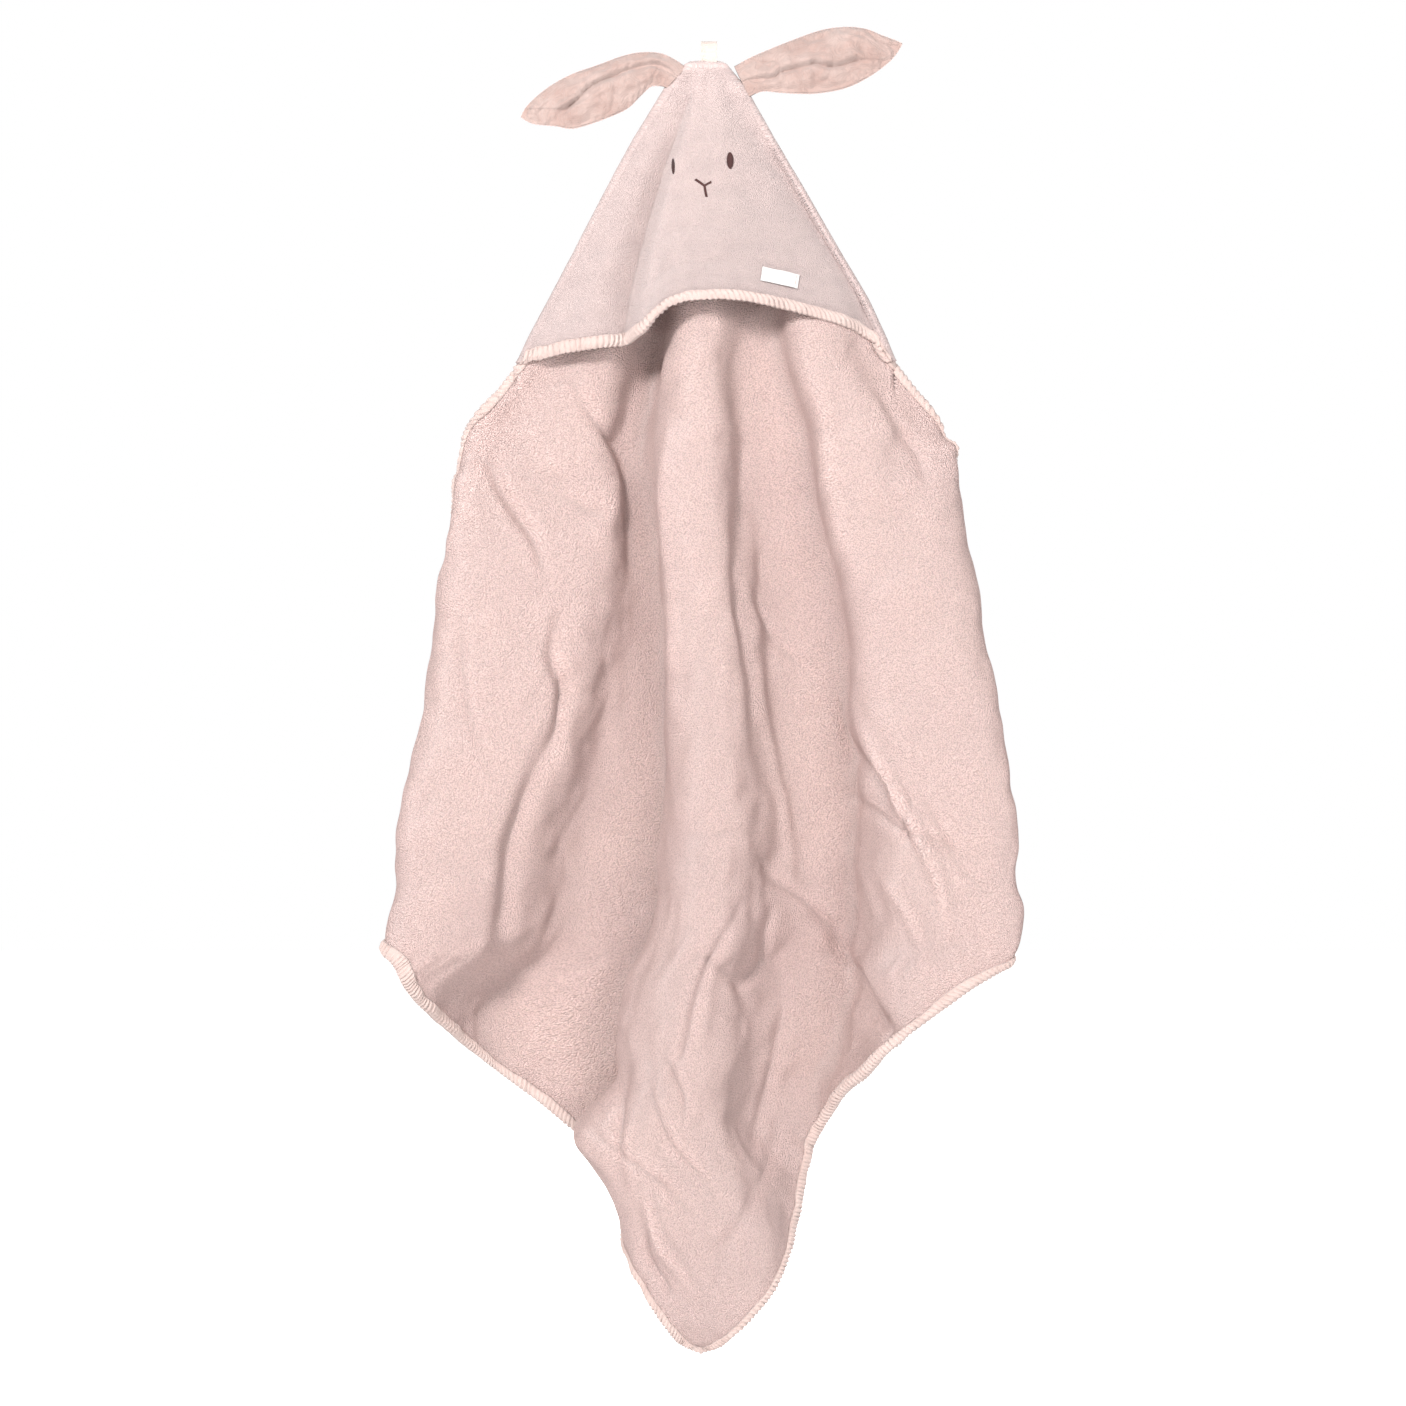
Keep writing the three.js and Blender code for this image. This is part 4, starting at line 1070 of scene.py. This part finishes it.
NOSE = (-0.0034, -0.1110)
for name, rows, seed in (
        ("left_eye", eye_rows(-0.0255, -0.0952, 0.0011, 0.0062), 61),
        ("right_eye", eye_rows(0.0152, -0.0918, 0.0026, 0.0064), 62),
        ("nose_and_mouth", arm_rows(NOSE, (-0.0098, -0.1062)) + arm_rows(NOSE, (0.0019, -0.1081))
         + arm_rows(NOSE, (-0.0017, -0.1200)), 63)):
    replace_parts(satin(name + "_satin_stitch", rows, seed), name)

# ---- Woven label, blank ----
LABEL_PLACE, LABEL_SIZE, LABEL_TURN = (0.0515, -0.1805), (0.0280, 0.0105), -0.17
LABEL_COLUMNS, LABEL_ROWS = 28, 11
u, v = np.meshgrid(np.linspace(-0.5, 0.5, LABEL_COLUMNS + 1), np.linspace(0.5, -0.5, LABEL_ROWS + 1))
lx, lz = u * LABEL_SIZE[0], v * LABEL_SIZE[1]
cx = LABEL_PLACE[0] + lx * math.cos(LABEL_TURN) - lz * math.sin(LABEL_TURN)
cz = LABEL_PLACE[1] + lx * math.sin(LABEL_TURN) + lz * math.cos(LABEL_TURN)
label_points = np.empty(u.shape + (3,))
for k in np.ndindex(u.shape):
    lift = 0.0012 + 0.0010 * (0.5 - v[k]) * (1 - (2 * u[k]) ** 2) + 0.0002 * math.sin(u[k] * 9)
    label_points[k] = on_hood(cx[k], cz[k], lift)
label_uv = np.stack([lx + 0.1, lz + 0.1], -1)
label = panel("woven_label_satin", label_points, facing(label_points), label_uv,
              np.ones((LABEL_ROWS, LABEL_COLUMNS), bool), 0.0008, label_finish)
on_label = lambda a, b: label_points[int((0.5 - b) * LABEL_ROWS), int((a + 0.5) * LABEL_COLUMNS)]
THREAD_LIFT = (0, -0.0006, 0)
label_starts, label_ends = [], []
for end in (-0.455, 0.455):
    for k in np.arange(-0.42, 0.42, 0.14):
        label_starts.append(on_label(end, k) + THREAD_LIFT)
        label_ends.append(on_label(end, k + 0.10) + THREAD_LIFT)
label_thread = sew("woven_label_stitches", np.array(label_starts), np.array(label_ends), 0.0005, pink_thread,
                   seed=71)
for piece in (label, label_thread):
    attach(piece, "hood")
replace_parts(label, "woven_label")

# ---- Hanging loop: twill tape over the hook, both ends sewn into the peak ----
LOOP_WIDTH, LOOP_RADIUS, LOOP_FOOT = 0.012, 0.0050, 0.0017
centre_z = TAPE - LOOP_RADIUS
turn = np.radians(np.linspace(0, 180, 25))
leg_y, leg_z = np.linspace(LOOP_FOOT, LOOP_RADIUS, 8)[:-1], np.linspace(-0.0165, centre_z, 8)[:-1]
loop_y = np.concatenate([leg_y, LOOP_RADIUS * np.cos(turn), -leg_y[::-1]])
loop_z = np.concatenate([leg_z, centre_z + LOOP_RADIUS * np.sin(turn), leg_z[::-1]])
loop_line = np.stack([0 * loop_y, loop_y, loop_z], 1)
loop_along = unit(np.gradient(loop_line, axis=0))
loop_in = np.cross(loop_along, (1, 0, 0))
loop_in *= np.sign((loop_in * (np.array([0, 0, centre_z]) - loop_line)).sum(1).mean())
edge_w = np.linspace(-0.5, 0.5, 17)
rib = 0.00008 * np.cos(edge_w * 60) + 0.00018 * (np.abs(edge_w) > 0.44)
section = [(w, -r) for w, r in zip(edge_w, rib)] + [(w, TAPE + r) for w, r in zip(edge_w[::-1], rib[::-1])]
loop_rings = np.stack([loop_line + loop_in * d + np.array([LOOP_WIDTH * w, 0, 0]) for w, d in section], 1)
loop = tube("hanging_loop_tape", loop_rings, tape_finish)
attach(loop, "hood")
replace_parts(loop, "hanging_loop")

# ---- Floor, light and camera ----
FLOOR_REACH, FLOOR_Z = 6, -1.13
floor_corners = [(a * FLOOR_REACH, b * FLOOR_REACH, FLOOR_Z) for a, b in ((-1, -1), (1, -1), (1, 1), (-1, 1))]
floor_mesh = bpy.data.meshes.new("floor")
floor_mesh.from_pydata(floor_corners, [], [(0, 1, 2, 3)])
floor = add_object("floor", floor_mesh)
floor_finish = bpy.data.materials.new("pale_floor")
floor_finish.use_nodes = True
g = Graph(floor_finish.node_tree)
floor_paint = floor_finish.node_tree.nodes["Principled BSDF"]
floor_paint.inputs["Base Color"].default_value = (0.85, 0.85, 0.85, 1)
floor_paint.inputs["Roughness"].default_value = 0.9
floor_paint.inputs["Emission Color"].default_value = (1, 1, 1, 1)
seen = g.add("ShaderNodeLightPath").outputs["Is Camera Ray"]
g.tree.links.new(g.math("MULTIPLY", seen, 0.72), floor_paint.inputs["Emission Strength"])
floor_mesh.materials.append(floor_finish)
floor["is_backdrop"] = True

AMBIENT = 0.58  # the room's light on the cloth; the camera sees it pure white
world = bpy.data.worlds.new("white_room")
bpy.context.scene.world = world
world.use_nodes = True
g = Graph(world.node_tree)
seen = g.add("ShaderNodeLightPath").outputs["Is Camera Ray"]
strength = g.math("ADD", AMBIENT, g.math("MULTIPLY", seen, 1.0 - AMBIENT))
background = world.node_tree.nodes["Background"]
background.inputs["Color"].default_value = (1, 1, 1, 1)
world.node_tree.links.new(strength, background.inputs["Strength"])
bpy.context.scene.view_settings.view_transform = "Standard"

MIDDLE = Vector((-0.0045, 0, -0.495))  # of the hung towel
LAMPS = (("key", (-1.05, -2.75, 0.7), 124, 0.5), ("fill", (1.2, -2.5, -0.2), 34, 1.0),
         ("back", (0.6, 2.4, 0.3), 75, 1.0))  # name, place, watts, size
for name, place, power, size in LAMPS:
    lamp = bpy.data.lights.new(name, "AREA")
    lamp.energy, lamp.size = power, size
    lamp_object = add_object(name, lamp)
    lamp_object.location = place
    lamp_object.rotation_euler = (MIDDLE - Vector(place)).to_track_quat("-Z", "Y").to_euler()

FRAME_WIDTH, LENS, SENSOR = 1.0545, 85.0, 36.0  # width seen at the towel in metres, lens and film in mm
camera_data = bpy.data.cameras.new("camera")
camera_data.lens, camera_data.sensor_width = LENS, SENSOR
camera = add_object("camera", camera_data)
camera.location = MIDDLE + Vector((0, -FRAME_WIDTH * LENS / SENSOR, 0))
camera.rotation_euler = (math.pi / 2, 0, 0)
bpy.context.scene.camera = camera

low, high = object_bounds()
